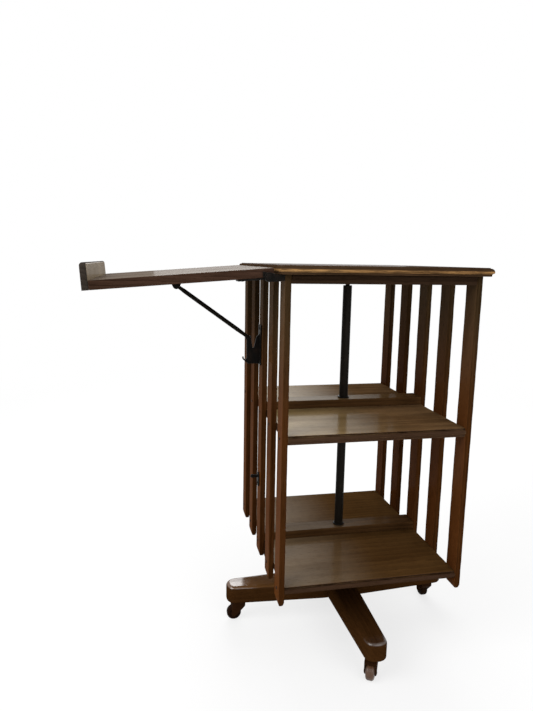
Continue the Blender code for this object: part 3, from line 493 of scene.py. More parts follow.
# Factors of the painted grey sheen on the upper slats.
GREY_SHEEN_FACTORS = (0.82, 1.36, 2.3)
QUIRK_DEPTHS = (0.0014, 0.0040)
NOSE_DEPTHS = (0.0072, 0.0124)
ON_TOP = (0.93, 0.99)
ROUND_TO_SIDE = (0.45, 0.75)
STOP_SPAN = ('X', 0.20, -0.19)


def band_below(node, near, far):
    """Two heights at given depths under a board's upper face, the lower one first."""
    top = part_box(node)[1].z
    return top - far, top - near


oaks = {
    # Painted sheen on the slats: paler outer faces and greyer wood aloft, where the window's light falls.
    "slat": oak("oak_slat", 'Z', SLAT_TONES, gloss=0.45, polish=0.04, worn=0.5, faces='X',
                painted_sheen=(0.094, 0.0320, 0.0085), sheen_aloft=(0.50, 0.80, GREY_SHEEN_FACTORS)),
    # Painted sheen on the shelves' tops towards the window, and painted shade in their quirk.
    "shelf": oak("oak_shelf", 'X', SHELF_TONES, gloss=0.34, polish=0.17, worn=0.25, turn=ON_TOP,
                 painted_sheen=(0.310, 0.222, 0.098), span=('X', 0.085, -0.17), sides=SHELF_SIDES,
                 painted=(*band_below("middle_shelf", *QUIRK_DEPTHS), QUIRK_SHADE)),
    # The bottom shelf is a shaded copy: darker tones and less painted sheen, and painted shade in its
    # quirk.
    "shaded_low_shelf": oak("oak_low_shelf", 'X', SHADED_SHELF_TONES, gloss=0.34, polish=0.095, worn=0.25,
                     turn=ON_TOP, painted_sheen=(0.170, 0.120, 0.070), span=('X', 0.05, -0.19),
                     sides=SHELF_SIDES, painted=(*band_below("bottom_shelf", *QUIRK_DEPTHS), QUIRK_SHADE)),
    # Painted sheen on the stop's top towards the window.
    "stop": oak("oak_stop", 'X', STOP_TONES, gloss=0.40, polish=0.15, turn=ON_TOP,
                painted_sheen=(0.210, 0.148, 0.068), span=STOP_SPAN),
    # The bottom stop is a shaded copy of the middle one, with less painted sheen.
    "shaded_low_stop": oak("oak_low_stop", 'X', STOP_TONES, gloss=0.40, polish=0.080, turn=ON_TOP,
                    painted_sheen=(0.120, 0.084, 0.049), span=STOP_SPAN),
    # The top's nose carries a painted gold highlight band.
    "top": oak("oak_top", 'X', TOP_TONES, gloss=0.30, polish=0.1, turn=ON_TOP,
               painted=(*band_below("top_board", *NOSE_DEPTHS), GOLD_NOSE_HIGHLIGHT)),
    # Painted sheen on the flap's top face.
    "flap": oak("oak_flap", 'X', FLAP_TONES, gloss=0.30, polish=0.1, turn=ON_TOP,
                painted_sheen=(0.150, 0.112, 0.080)),
    # Painted sheen on the lip's inner face.
    "lip": oak("oak_lip", 'Y', LIP_TONES, gloss=0.34, polish=0.15, faces='+X',
               painted_sheen=(0.240, 0.182, 0.112)),
    "rail": oak("oak_rail", 'X', RAIL_TONES, gloss=0.45, polish=0.1),
    "rail_side": oak("oak_rail_side", 'Y', RAIL_TONES, gloss=0.45, polish=0.1),
    # Painted sheen on the long arm's top, where the light falls on it.
    "arm_long": oak("oak_arm_long", 'X', BASE_TONES, gloss=0.28, polish=0.76, turn=ROUND_TO_SIDE,
                    painted_sheen=(0.135, 0.0620, 0.0200), coat_ior=2.1, coat_rough=0.13),
    "arm_cross": oak("oak_arm_cross", 'Y', BASE_TONES, gloss=0.28, polish=1.2, turn=ROUND_TO_SIDE,
                     span=('Y', -0.238, -0.260), coat_ior=1.7, coat_rough=0.3),
}
print("oak:", len(oaks), "finishes")

# %% [markdown]
# ## Iron, brass and the castors' wheels
# The post, hinges, rack and strut are blackened iron, cast or forged, a little rough, with brown bloom
# where the black has gone. The castors are brass gone dark with polish and dirt, bright only where they
# rub. Their wheels are a hard dark wood. The front wheel is a lit copy of that wood, painted brighter
# with paler edges, as painted light. A fully metallic shader would mirror the white room, so these stay
# mostly
# dull: one base tone, a second tone in patches, and a brighter one at the edges.

# %% Mix old metal
METAL_EDGE = 0.0016
PATCH_SIZE = 38.0
PATCH_LEVELS = (0.5, 0.72)
PIT_LEVELS = (0.62, 0.74)
PIT_STAIN = (0.3, 0.26, 0.24)
RUB_LEVELS = (0.34, 0.6)
METAL_BUMP = {'Strength': 0.35, 'Distance': 0.0004}


def metal(name, tones, gloss, grain, metallic, worn, shine):
    """Old metal: a tone, a bloom in patches, a bright tone on the edges, and a skin of a given grain."""
    tone, bloom, bright = tones
    material, start = new_finish(name)
    spot = start.node('TexCoord', None, None, 'Object')
    patch = spot.noise(PATCH_SIZE, 4.0, 0.65).between(*PATCH_LEVELS)
    skin = spot.noise(grain, 3.0, 0.6)
    pits = spot.noise(grain * 0.35, 2.0, 0.5).between(*PIT_LEVELS)
    edge = edge_mask(start, METAL_EDGE) * spot.noise(140.0, 3.0, 0.7).between(*RUB_LEVELS)
    colour = (patch * 0.8).tint(tone, bloom)
    colour = (pits * 0.6).tint(colour, PIT_STAIN, 'MULTIPLY')
    if worn:
        colour = (edge * worn).tint(colour, bright)
    rough = gloss + (skin - 0.5) * 0.25 + patch * 0.16 - edge * 0.12
    bumps = start.node('Bump', None, {**METAL_BUMP, 'Height': skin * 0.6 - pits * 0.8})
    return close_finish(material, start, Base_Color=colour, Roughness=rough.held(), Normal=bumps,
                        Metallic=(metallic - patch * 0.5 + edge * 0.3).held() if metallic else 0.0,
                        Specular_IOR_Level=shine)


print("old metal: a tone, a bloom and a bright edge")

# %% Choose the metals
IRON_TONES = (0.0070, 0.0062, 0.0055), (0.016, 0.0105, 0.0075), (0.07, 0.06, 0.05)
POST_TONES = (0.0085, 0.0068, 0.0048), (0.015, 0.0105, 0.0070), (0.06, 0.051, 0.042)
BRASS_TONES = (0.022, 0.0090, 0.0036), (0.012, 0.0050, 0.0022), (0.08, 0.042, 0.018)
WHEEL_TONES = (0.013, 0.0056, 0.0027), (0.008, 0.0036, 0.0019), (0.05, 0.026, 0.013)
# The front wheel's tones: a lit copy of the wheel wood, painted brighter, with paler edges.
LIT_WHEEL_TONES = (0.078, 0.0370, 0.0180), (0.050, 0.0240, 0.0120), (0.18, 0.105, 0.060)
iron = metal("black_iron", IRON_TONES, gloss=0.42, grain=900.0, metallic=0.12, worn=0.4, shine=0.02)
rod_iron = metal("rod_iron", POST_TONES, gloss=0.46, grain=1400.0, metallic=0.0, worn=0.0, shine=0.02)
post_iron = metal("post_iron", POST_TONES, gloss=0.42, grain=1400.0, metallic=0.25, worn=0.3, shine=0.07)
brass = metal("dark_brass", BRASS_TONES, gloss=0.42, grain=1200.0, metallic=0.12, worn=0.4, shine=0.0)
wheel_wood = metal("wheel_wood", WHEEL_TONES, gloss=0.36, grain=1500.0, metallic=0.0, worn=0.3,
                   shine=0.01)
lit_wheel = metal("lit_wheel", LIT_WHEEL_TONES, gloss=0.28, grain=1500.0, metallic=0.0, worn=0.5,
                     shine=0.4)
print("metals:", [m.name for m in (iron, rod_iron, post_iron, brass, wheel_wood, lit_wheel)])

# %% [markdown]
# ## From a solid to a finished piece
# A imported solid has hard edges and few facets. On the real thing every edge is eased by a plane, a file
# or years of hands. The easiest way to show that would be a rounded normal in the shader, but then the
# outline stays sharp. So each piece is built again as its own mesh, takes the solid's place, and rides on
# the same body.

# %% Ease a solid and put a piece in its place
SMOOTH_BELOW = math.radians(38)
FLAT_BELOW = math.radians(0.6)
SAME_POINT = 1e-5
SHARP_EDGE = 40   # degrees
OVER_FACETS = 50  # degrees: the facets of a round solid meet at less, so a bevel leaves them alone


def show(name, mesh, material, node):
    """Put a mesh into the scene as a piece on the body of a node."""
    mesh.shade_smooth()
    mesh.set_sharp_from_angle(angle=SMOOTH_BELOW)
    mesh.materials.append(material)
    item = bpy.data.objects.new(name, mesh)
    bpy.context.scene.collection.objects.link(item)
    even = item.modifiers.new("even_shading", 'WEIGHTED_NORMAL')
    even.keep_sharp = True
    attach(item, frame["nodes"][node]["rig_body"])
    return item


def stand_for(name, mesh, material, node):
    """A finished piece in the place of one node."""
    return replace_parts(show(name, mesh, material, node), node)


def as_mesh(name, shape):
    """Close a bmesh into a mesh with its faces turned outwards."""
    bmesh.ops.recalc_face_normals(shape, faces=shape.faces)
    mesh = bpy.data.meshes.new(name)
    shape.to_mesh(mesh)
    shape.free()
    return mesh


def eased(node, radius, steps=2, sharp=SHARP_EDGE):
    """The node's solid with clean faces, its edges rounded where they turn by more than an angle."""
    source = frame["nodes"][node].data
    shape = bmesh.new()
    corners = [shape.verts.new(corner.co) for corner in source.vertices]
    for face in source.polygons:
        shape.faces.new([corners[k] for k in face.vertices])
    bmesh.ops.remove_doubles(shape, verts=shape.verts, dist=SAME_POINT)
    bmesh.ops.dissolve_limit(shape, angle_limit=FLAT_BELOW, verts=shape.verts, edges=shape.edges)
    if radius:
        edges = [edge for edge in shape.edges
                 if len(edge.link_faces) == 2 and edge.calc_face_angle() > math.radians(sharp)]
        bmesh.ops.bevel(shape, geom=edges, offset=radius, segments=steps, profile=0.5, affect='EDGES',
                        clamp_overlap=True)
    return as_mesh(node, shape)


print("eased edges stay smooth below", round(math.degrees(SMOOTH_BELOW)), "degrees")

# %% [markdown]
# ## Slats
# Ten thin uprights close the two sides. Each is planed square, has its corners taken off, and tapers at
# the foot. After a century the corners are rounded unevenly. A bevel would be too even, so each slat is
# skinned over many loops along its height, and noise sets how much of the corner is worn away at each
# loop.

# %% Skin loops and draw arcs


def skinned(name, loops, ring=False):
    """Closed mesh of loops joined side by side; a ring joins last to first, others are capped."""
    shape = bmesh.new()
    rows = [[shape.verts.new(point) for point in loop] for loop in loops]
    count = len(rows[0])
    for low, high in zip(rows, rows[1:] + rows[:1] if ring else rows[1:]):
        for k in range(count):
            j = (k + 1) % count
            shape.faces.new((low[k], low[j], high[j], high[k]))
    if not ring:
        shape.faces.new(rows[0][::-1])
        shape.faces.new(rows[-1])
    return as_mesh(name, shape)


def arc(centre, radius, start, end, steps):
    """Points of an arc from one angle to another, in degrees."""
    turns = [math.radians(start + (end - start) * k / steps) for k in range(steps + 1)]
    return [(centre[0] + radius * math.cos(t), centre[1] + radius * math.sin(t)) for t in turns]


print("a quarter round in 3 steps has", len(arc((0, 0), 1, 0, 90, 3)), "points")

# %% Plane the slats
SLAT_LOOPS = 90
SLAT_CORNER = 0.0013
SLAT_CORNER_STEPS = 3
SLAT_WEAR = 0.0011
SLAT_FOOT = 0.006
SLAT_FOOT_INSET = 0.002
SLAT_ARRIS = 0.0008
SLAT_ARRIS_INSET = 0.0006
SLAT_CORNERS = ((1, -1, -90), (1, 1, 0), (-1, 1, 90), (-1, -1, 180))
LONG_WEAR = (34, 7.3, 3.1)
SHORT_WEAR = (130, 5.1, 2.3)
SHORT_SHARE = 0.6
WEAR_BASE = 0.35


def chance_at(waves, *values):
    """Smooth chance from three values, each taken times its own number of waves."""
    return noise.noise(Vector([value * wave for value, wave in zip(values, waves)]))


def slat_loop(low, high, z, inset, number):
    """One loop of a slat: four corners, each rounded by its own wear at this height."""
    points = []
    for corner, (sx, sy, start) in enumerate(SLAT_CORNERS):
        wear = chance_at(LONG_WEAR, z, corner, number) + WEAR_BASE
        wear += SHORT_SHARE * chance_at(SHORT_WEAR, z, corner, number)
        radius = SLAT_CORNER + SLAT_WEAR * max(0.0, min(1.0, wear))
        x = (high.x if sx > 0 else low.x) - sx * (radius + inset)
        y = (high.y if sy > 0 else low.y) - sy * (radius + inset)
        corner_arc = arc((x, y), radius, start, start + 90, SLAT_CORNER_STEPS)
        points += [(px, py, z) for px, py in corner_arc]
    return points


def add_slat(name, number):
    """One slat in the place of its node."""
    low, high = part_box(name)
    heights = [low.z + (high.z - low.z) * k / SLAT_LOOPS for k in range(SLAT_LOOPS + 1)]
    heights.insert(1, low.z + SLAT_ARRIS)
    loops = []
    for z in heights:
        taper = max(0.0, 1 - (z - low.z) / SLAT_FOOT) * SLAT_FOOT_INSET
        taper += SLAT_ARRIS_INSET if z == low.z else 0.0
        loops.append(slat_loop(low, high, z, taper, number))
    return stand_for("worn_" + name, skinned(name, loops), oaks["slat"], name)


slat_names = [f"{side}_slat_{k}" for side in ("left", "right") for k in range(1, 6)]
slats = [add_slat(name, number) for number, name in enumerate(slat_names)]
print("slats:", len(slats))

# %% [markdown]
# ## Moulded edges of the shelves and the top
# A cutter has run along the open edges of the shelves and all round the top. It leaves a small step
# called a quirk, a quarter round called an ovolo, a flat nose and a hollow cove below. The quirk is deep
# on the shelves and shallow on the top. The edge could be bevelled in Blender, but a bevel has one round
# only. So the moulding is drawn once as a list of insets and depths with true arcs, from four sizes.

# %% Draw the mouldings
TOP_MOULD = (0.0012, 0.0065, 0.0030, 0.0038)
SHELF_MOULD = (0.0034, 0.0046, 0.0030, 0.0038)
LEAST_FILLET = 0.0004
QUIRK_ARRIS = ((0.0005, 0.0), (0.0001, 0.0003))
NOSE_ARRIS = 0.0006
FOOT_ARRIS = 0.0008
MOULD_STEPS = 7


def moulding(thickness, sizes):
    """Edge of a board as (inset, depth): quirk, ovolo, nose, cove and fillet, small arrises eased."""
    fit = min(1.0, (thickness - LEAST_FILLET) / sum(sizes))
    quirk, ovolo, nose, cove = (fit * size for size in sizes)
    nose_end = quirk + ovolo + nose
    points = [(ovolo + inset, depth) for inset, depth in QUIRK_ARRIS]
    points += [(x, -z) for x, z in arc((ovolo, -quirk - ovolo), ovolo, 90, 180, MOULD_STEPS)]
    points += [(0.0, nose_end - NOSE_ARRIS), (NOSE_ARRIS, nose_end)]
    points += [(x, -z) for x, z in arc((0.0, -nose_end - cove), cove, 80, 0, MOULD_STEPS)]
    points += [(cove, thickness - FOOT_ARRIS), (cove + FOOT_ARRIS, thickness)]
    return points


shelf_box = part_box("middle_shelf")
print("moulding of a shelf:", len(moulding(shelf_box[1].z - shelf_box[0].z, SHELF_MOULD)), "points")

# %% [markdown]
# ## Shelves and top
# Books are slid in over the shelves' front and back, so those edges are rubbed most. A shelf is its
# outline drawn out along X. Two ends would be enough for that, but then the nose couldn't be worn, so it
# has many cuts. The post's passage is cut with a Boolean. The top has its moulding on all four sides, so
# it is skinned over the same list in plan loops with rounded corners.

# %% Turn a profile and cut with a tool
ROUND_STEPS = 48


def turned(name, profile, steps=ROUND_STEPS, ring=False, place=(0, 0, 0), axis=(0, 0, 1)):
    """Mesh of a profile of (radius, height) points turned about an axis through a place."""
    lay = Vector((0, 0, 1)).rotation_difference(Vector(axis)).to_matrix().to_4x4()
    to_world = Matrix.Translation(place) @ lay
    turns = [2 * math.pi * k / steps for k in range(steps)]
    loops = []
    for radius, height in profile:
        circle = [Vector((radius * math.cos(t), radius * math.sin(t), height)) for t in turns]
        loops.append([to_world @ point for point in circle])
    return skinned(name, loops, ring)


def cut(mesh, tool):
    """Cut a tool mesh out of a mesh and return what is left."""
    item = bpy.data.objects.new("work", mesh)
    cutter = bpy.data.objects.new("tool", tool)
    for each in (item, cutter):
        bpy.context.scene.collection.objects.link(each)
    boolean = item.modifiers.new("cut", 'BOOLEAN')
    boolean.object = cutter
    graph = bpy.context.evaluated_depsgraph_get()
    result = bpy.data.meshes.new_from_object(item.evaluated_get(graph))
    for each in (item, cutter):
        bpy.data.objects.remove(each)
    return result


print("turned pieces:", ROUND_STEPS, "steps round, unless a piece asks for another number")

# %% Run the shelves
SHELF_CUTS = 60
EDGE_WEAR = 0.0005
EDGE_WAVES = (26, 3, 9)
WORN_REACH = 0.004
PASSAGE = 0.0108
CUT_PAST = 0.01


def shelf_loop(outline, x, low, high):
    """The shelf's outline at one cut, with its front and back rubbed by chance."""
    loop = []
    for y, z in outline:
        rub = max(0.0, chance_at(EDGE_WAVES, x, y, z)) * EDGE_WEAR
        near = max(0.0, 1 - min(y - low.y, high.y - y) / WORN_REACH)
        loop.append((x, y + math.copysign(rub * near, -y), z))
    return loop


def add_shelf(name, wood):
    """A shelf, moulded at its front and back, with the post's passage."""
    low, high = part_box(name)
    edge = moulding(high.z - low.z, SHELF_MOULD)
    outline = [(low.y + inset, high.z - depth) for inset, depth in edge]
    outline += [(high.y - inset, high.z - depth) for inset, depth in reversed(edge)]
    places = [low.x + (high.x - low.x) * k / SHELF_CUTS for k in range(SHELF_CUTS + 1)]
    board = skinned(name, [shelf_loop(outline, x, low, high) for x in places])
    depth = 2 * CUT_PAST + high.z - low.z
    hole = turned("hole", [(PASSAGE, 0), (PASSAGE, depth)], place=(0, 0, low.z - CUT_PAST))
    return stand_for("moulded_" + name, cut(board, hole), oaks[wood], name)


shelves = [add_shelf("bottom_shelf", "shaded_low_shelf"), add_shelf("middle_shelf", "shelf")]
print("shelves:", [shelf.name for shelf in shelves])

# %% Run the top
TOP_CORNER = 0.0035
TOP_CORNER_STEPS = 4
LEAST_CORNER = 0.0006
CORNER_SHRINK = 0.2


def rounded_plan(low, high, inset, radius, z):
    """A rectangle with rounded corners, drawn in by an inset."""
    r = max(LEAST_CORNER, radius - inset * CORNER_SHRINK)
    x0, x1, y0, y1 = low.x + inset + r, high.x - inset - r, low.y + inset + r, high.y - inset - r
    corners = ((x1, y0, -90), (x1, y1, 0), (x0, y1, 90), (x0, y0, 180))
    return [(px, py, z) for x, y, start in corners
            for px, py in arc((x, y), r, start, start + 90, TOP_CORNER_STEPS)]


def add_top():
    """The top board, moulded on all four sides."""
    low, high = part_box("top_board")
    loops = [rounded_plan(low, high, inset, TOP_CORNER, high.z - depth)
             for inset, depth in moulding(high.z - low.z, TOP_MOULD)]
    return stand_for("moulded_top", skinned("top_board", loops), oaks["top"], "top_board")


top_piece = add_top()
print("top:", top_piece.name)

# %% [markdown]
# ## Plain boards
# Book stops, rails, battens and the flap have no moulding. They could be drawn anew, but their solids
# already have the right outline, so each is copied, cleaned of its triangles and given eased edges with a
# small bevel. The flap and the front and back rails were rounded in the solid, so they only need smooth
# shading.

# %% Ease the plain boards
PLAIN_BOARDS = {
    "bottom_book_stop": ("shaded_low_stop", 0.0012), "middle_book_stop": ("stop", 0.0012),
    "bottom_batten": ("rail", 0.0015), "top_batten": ("rail", 0.0015),
    "front_top_rail": ("rail", 0.0), "back_top_rail": ("rail", 0.0),
    "left_top_rail": ("rail_side", 0.001), "right_top_rail": ("rail_side", 0.001),
    "flap_board": ("flap", 0.0),
}
boards = [stand_for("eased_" + node, eased(node, radius), oaks[wood], node)
          for node, (wood, radius) in PLAIN_BOARDS.items()]
print("plain boards:", len(boards))

# %% [markdown]
# ## The lip of the flap
# A lip across the flap's outer end keeps a book from sliding off. Its edges and upper corners are fat and
# round, because books and hands slide over it. A bevel of that size would fold over itself on so thin a
# board. So the upright outline with its round corners is skinned inwards, and the rows of that skin round
# the upper edges too. The flap leans, so the lip is built along the flap's own two directions.

# %% Round the lip
LIP_CORNER = 0.009
LIP_EASE = 0.0012
LIP_OUTER_ROUND = 0.0050
LIP_INNER_ROUND = 0.0036
LIP_ROUND_STEPS = 6
LIP_CORNER_STEPS = 8
flap_mount = next(row for row in frame["record"]["mounts"] if row["name"] == "flap_surface")
flap_up = Vector(flap_mount["axis"])
flap_out = Vector((-flap_up.z, 0, flap_up.x))


def reach_of(node, way):
    """Nearest and farthest reach of a node along a direction."""
    marks = [corner.co.dot(way) for corner in frame["nodes"][node].data.vertices]
    return min(marks), max(marks)


def lip_rows(near, far):
    """(inset, place along the flap) over the inner round and then the outer one."""
    rows = [(LIP_INNER_ROUND - y, near + LIP_INNER_ROUND - x)
            for x, y in arc((0, 0), LIP_INNER_ROUND, 0, 90, LIP_ROUND_STEPS)]
    rows += [(LIP_OUTER_ROUND - y, far - LIP_OUTER_ROUND + x)
             for x, y in arc((0, 0), LIP_OUTER_ROUND, 90, 0, LIP_ROUND_STEPS)]
    return rows


def add_lip():
    """The lip: an upright outline with round corners, skinned inwards so that its edges are round too."""
    low, high = reach_of("flap_lip", flap_up)
    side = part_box("flap_lip")[1].y
    right = (side - LIP_CORNER, high - LIP_CORNER)
    left = (-right[0], right[1])
    loops = []
    for inset, out in lip_rows(*reach_of("flap_lip", flap_out)):
        radius = LIP_CORNER - inset
        end = side - min(inset, LIP_EASE)
        plan = [(-end, low), (end, low)]
        plan += arc(right, radius, 0, 90, LIP_CORNER_STEPS) + arc(left, radius, 90, 180, LIP_CORNER_STEPS)
        loops.append([Vector((0, y, 0)) + flap_up * up + flap_out * out for y, up in plan])
    return stand_for("rounded_flap_lip", skinned("flap_lip", loops), oaks["lip"], "flap_lip")


lip = add_lip()
print("lip:", lip.name)

# %% [markdown]
# ## The crossed base
# Two thick arms cross at the middle in a half lap, each cut halfway through so that their tops lie flush.
# They taper from the crossing to full round ends, and a large round along the upper edge catches the
# light. A bevel would pinch at the ends, where the plan curves tightest. So an arm is skinned over plan
# outlines drawn in step by step along that round, and a block cuts the lap.

# %% Draw an arm
ARM_END_WIDTH = 0.049
ARM_END_REACH = 0.0265
ARM_END_STEPS = 26
ARM_FULLNESS = 2.5
ARM_ROUND = 0.0095
ARM_ROUND_STEPS = 9
ARM_LOWER = 0.005
ARM_LOWER_STEPS = 5
arm_low, arm_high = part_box("base_arm_long")


def arm_plan(length, width, straight, inset):
    """Plan of an arm along X: straight at the crossing, tapered, with full round ends."""
    start = length / 2 - ARM_END_REACH
    side = ARM_END_WIDTH / 2 - inset
    end = [(straight, inset - width / 2)]
    for k in range(ARM_END_STEPS + 1):
        turn = math.pi * (k / ARM_END_STEPS - 0.5)
        x = math.cos(turn) ** (2 / ARM_FULLNESS)
        y = math.copysign(abs(math.sin(turn)) ** (2 / ARM_FULLNESS), turn)
        end.append((start + (ARM_END_REACH - inset) * x, side * y))
    end.append((straight, width / 2 - inset))
    return end + [(-x, -y) for x, y in end]


def arm_rows(low, high):
    """(inset, height) from the underside, round its edge and the larger upper one, to the flat top."""
    lower = arc((ARM_LOWER, low + ARM_LOWER), ARM_LOWER, 270, 180, ARM_LOWER_STEPS)
    upper = arc((ARM_ROUND, high - ARM_ROUND), ARM_ROUND, 180, 90, ARM_ROUND_STEPS)
    return lower + upper


print("an arm is skinned over", len(arm_rows(arm_low.z, arm_high.z)), "outlines")

# %% Lap the arms
ARM_STRAIGHT = 0.005
ARM_GAP = 0.0003


def block(low, high):
    """Mesh of a square block between two corners."""
    loops = [[(low[0], low[1], z), (high[0], low[1], z), (high[0], high[1], z), (low[0], high[1], z)]
             for z in (low[2], high[2])]
    return skinned("block", loops)


def add_arm(node, wood, straight, notch_low, notch_high):
    """One arm with its half of the lap cut away."""
    low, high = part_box(node)
    size = high - low
    length, width = max(size.x, size.y), min(size.x, size.y)
    quarter = size.y > size.x
    loops = []
    for inset, z in arm_rows(low.z, high.z):
        plan = arm_plan(length, width, straight, inset)
        loops.append([(-y, x, z) if quarter else (x, y, z) for x, y in plan])
    mesh = cut(skinned(node, loops), block(notch_low, notch_high))
    return stand_for("moulded_" + node, mesh, oaks[wood], node)


long_half = arm_high.y + ARM_GAP
cross_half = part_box("base_arm_cross")[1].x + ARM_GAP
lap = (arm_low.z + arm_high.z) / 2
straight = max(long_half, cross_half) + ARM_STRAIGHT
reach = 3 * straight
arms = [add_arm("base_arm_long", "arm_long", straight,
                (-cross_half, -reach, lap), (cross_half, reach, reach)),
        add_arm("base_arm_cross", "arm_cross", straight,
                (-reach, -long_half, -reach), (reach, long_half, lap + ARM_GAP))]
print("arms:", [arm.name for arm in arms])

# %% [markdown]
# ## The post and its rings
# A plain iron bar stands in the cross and the whole case turns on it. Thin rings sit where it comes
# through the book stops. Blender's cylinder would do for the bar, but it has no shoulder or foot. Round
# iron is best turned from a profile, with enough steps that its outline never shows corners.

# %% Turn the post
POST_SHAFT = 0.010
POST_NECK = 0.0048
POST_NECK_EASE = 0.0008
NECK_VISIBLE = 0.0075
FOOT_HEIGHT = 0.004
FOOT_EASE = 0.001
COLLAR_BORE = 0.0105
COLLAR_STEPS = 8
FITTING_EASE = 0.0005
ROUND_FITTINGS = {"spindle_socket": iron, "thrust_washer": brass, "pivot_bush": brass}


def add_post():
    """The post with its foot, shaft, eased shoulder and neck, turned again with more steps."""
    low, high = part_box("spindle")
    foot = high.x
    foot_top = low.z + FOOT_HEIGHT
    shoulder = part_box("pivot_bush")[0].z - NECK_VISIBLE
    profile = [(foot - FOOT_EASE, low.z), (foot, low.z + FOOT_EASE), (foot, foot_top - FOOT_EASE),
               (foot - FOOT_EASE, foot_top), (POST_SHAFT, foot_top),
               (POST_SHAFT, shoulder - POST_NECK_EASE), (POST_SHAFT - POST_NECK_EASE, shoulder),
               (POST_NECK, shoulder), (POST_NECK, high.z)]
    return stand_for("turned_post", turned("spindle", profile), post_iron, "spindle")


def add_collar(node):
    """A thin ring round the post, half round outside."""
    low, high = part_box(node)
    half = (high.z - low.z) / 2
    bead = arc((high.x - half, low.z + half), half, -90, 90, COLLAR_STEPS)
    profile = [(COLLAR_BORE, low.z)] + bead + [(COLLAR_BORE, high.z)]
    return stand_for("turned_" + node, turned(node, profile, ring=True), iron, node)


round_irons = [add_post()] + [add_collar(node) for node in ("bottom_collar", "middle_collar")]
round_irons += [stand_for("eased_" + node, eased(node, FITTING_EASE, sharp=OVER_FACETS), metal_of, node)
                for node, metal_of in ROUND_FITTINGS.items()]
print("post and rings:", len(round_irons))

# %% [markdown]
# ## Castors
# Each arm ends on a small swivelling castor: a round plate, a forked horn, a riveted axle and a wheel.
# The first three keep their solid's outline and get filed edges. The wheel could be a plain disc, but
# such wheels were lathe work too, so it is turned with a crowned tread, a groove on each side and a
# raised boss. The front wheel gets a lit copy of the wood, painted brighter, as painted light.

# %% Build the castors
CASTOR_SIDES = ("left", "right", "front", "back")
CASTOR_IRONS = {"plate": ("turned", 0.0007, 2, OVER_FACETS), "horn": ("filed", 0.0016, 4, SHARP_EDGE),
                "axle": ("riveted", 0.0006, 2, OVER_FACETS)}
WHEEL_RADIUS = 0.017
WHEEL_HALF = 0.009
WHEEL_STEPS = 56
RIM_ROUND = 0.0062
RIM_STEPS = 7
# radius, and depth under the wheel's face
WHEEL_SIDE = ((0.0035, 0.0), (0.0062, 0.0), (0.0070, 0.0006), (0.0078, 0.0018), (0.0095, 0.0020),
              (0.0104, 0.0006))


def joint_row(name):
    """The frame's row of one joint."""
    return next(row for row in frame["joints"] if row["name"] == name)


def wheel_profile():
    """Boss, groove and shoulder, then the rim's round, and all of it mirrored to the other side."""
    half = [(radius, WHEEL_HALF - depth) for radius, depth in WHEEL_SIDE]
    half += arc((WHEEL_RADIUS - RIM_ROUND, WHEEL_HALF - RIM_ROUND), RIM_ROUND, 82, 12, RIM_STEPS)
    return half + [(radius, -height) for radius, height in reversed(half)]


def add_castor(side):
    """Plate, horn, axle and wheel of one castor."""
    pieces = []
    for part, (work, radius, steps, sharp) in CASTOR_IRONS.items():
        node = f"castor_{part}_{side}"
        pieces.append(stand_for(f"{work}_{node}", eased(node, radius, steps, sharp), brass, node))
    node = f"castor_wheel_{side}"
    roll = joint_row(f"castor_roll_{side}")
    mesh = turned(node, wheel_profile(), WHEEL_STEPS, True, roll["pos_m"], roll["axis"])
    # The front wheel takes the lit copy, its painted light.
    wood = lit_wheel if side == "front" else wheel_wood
    pieces.append(stand_for(f"turned_{node}", mesh, wood, node))
    return pieces


castors = [piece for side in CASTOR_SIDES for piece in add_castor(side)]
print("castors:", len(castors), "pieces")

# %% [markdown]
# ## Hinges, rack and peg
# The flap hangs on two iron brackets, a rack with hooks sits on the middle slat, and a peg below it.
# These are small forgings. They could be sculpted, but at this size only the outline and the filed edges
# show, so each keeps the outline of its solid and gets a small bevel.

# %% File the irons
IRONS = {
    "hinge_bracket_front": 0.0008, "hinge_bracket_rear": 0.0008,
    "hinge_leaf_front": 0.0006, "hinge_leaf_rear": 0.0006,
    "hinge_pin_front": 0.0004, "hinge_pin_rear": 0.0004,
    "strut_rack": 0.0009, "rest_peg": 0.0007, "strut_lug": 0.0008, "lug_pin": 0.0004,
}
irons = [stand_for("filed_" + node, eased(node, radius, sharp=OVER_FACETS), iron, node)
         for node, radius in IRONS.items()]
print("irons:", len(irons))

# %% [markdown]
# ## The strut
# A rod props the flap. It has an eye on the pin of the lug, a shank that swells a little, and a rounded
# foot with a short cross pin that lies in the rack's hook. A hammer leaves such a shape, and a plain
# cylinder would look like drawn wire. So the shank is turned from a profile with the swell in it, the eye
# is turned about the lug's pin, and the two are joined as one mesh.

# %% Forge the rod
ROD_END = 0.0039
ROD_SHANK = 0.0046
ROD_EYE = 0.0075
ROD_HOLE = 0.0035
EYE_EASE = 0.0008
ROD_STEPS = 32
ROD_FOOT_STEPS = 6
SWELL_AT_EYE = (0.005, 0.012, 0.022)
SWELL_AT_FOOT = (0.030, 0.014)
lug_pin_place = Vector(joint_row("strut_swing")["pos_m"])


def joined(name, meshes):
    """Several meshes as one, without their finishes."""
    shape = bmesh.new()
    for mesh in meshes:
        shape.from_mesh(mesh)
        bpy.data.meshes.remove(mesh)
    mesh = as_mesh(name, shape)
    mesh.materials.clear()
    return mesh


def hook_place():
    """Middle of the rack's upper hook, in line with the rod."""
    openings = frame["record"]["physics"]["openings"]
    hook = next(row for row in openings if row["name"] == "rack_upper_hook")
    low, high = (Vector(corner) for corner in hook["box_m"])
    across = (high.x - low.x) / 2
    return Vector((low.x + across, lug_pin_place.y, low.z + across))


def eased_pin(radius, ease, low, high):
    """Profile of a pin or ring's outside, with its two arrises taken off."""
    return [(radius - ease, low), (radius, low + ease), (radius, high - ease), (radius - ease, high)]


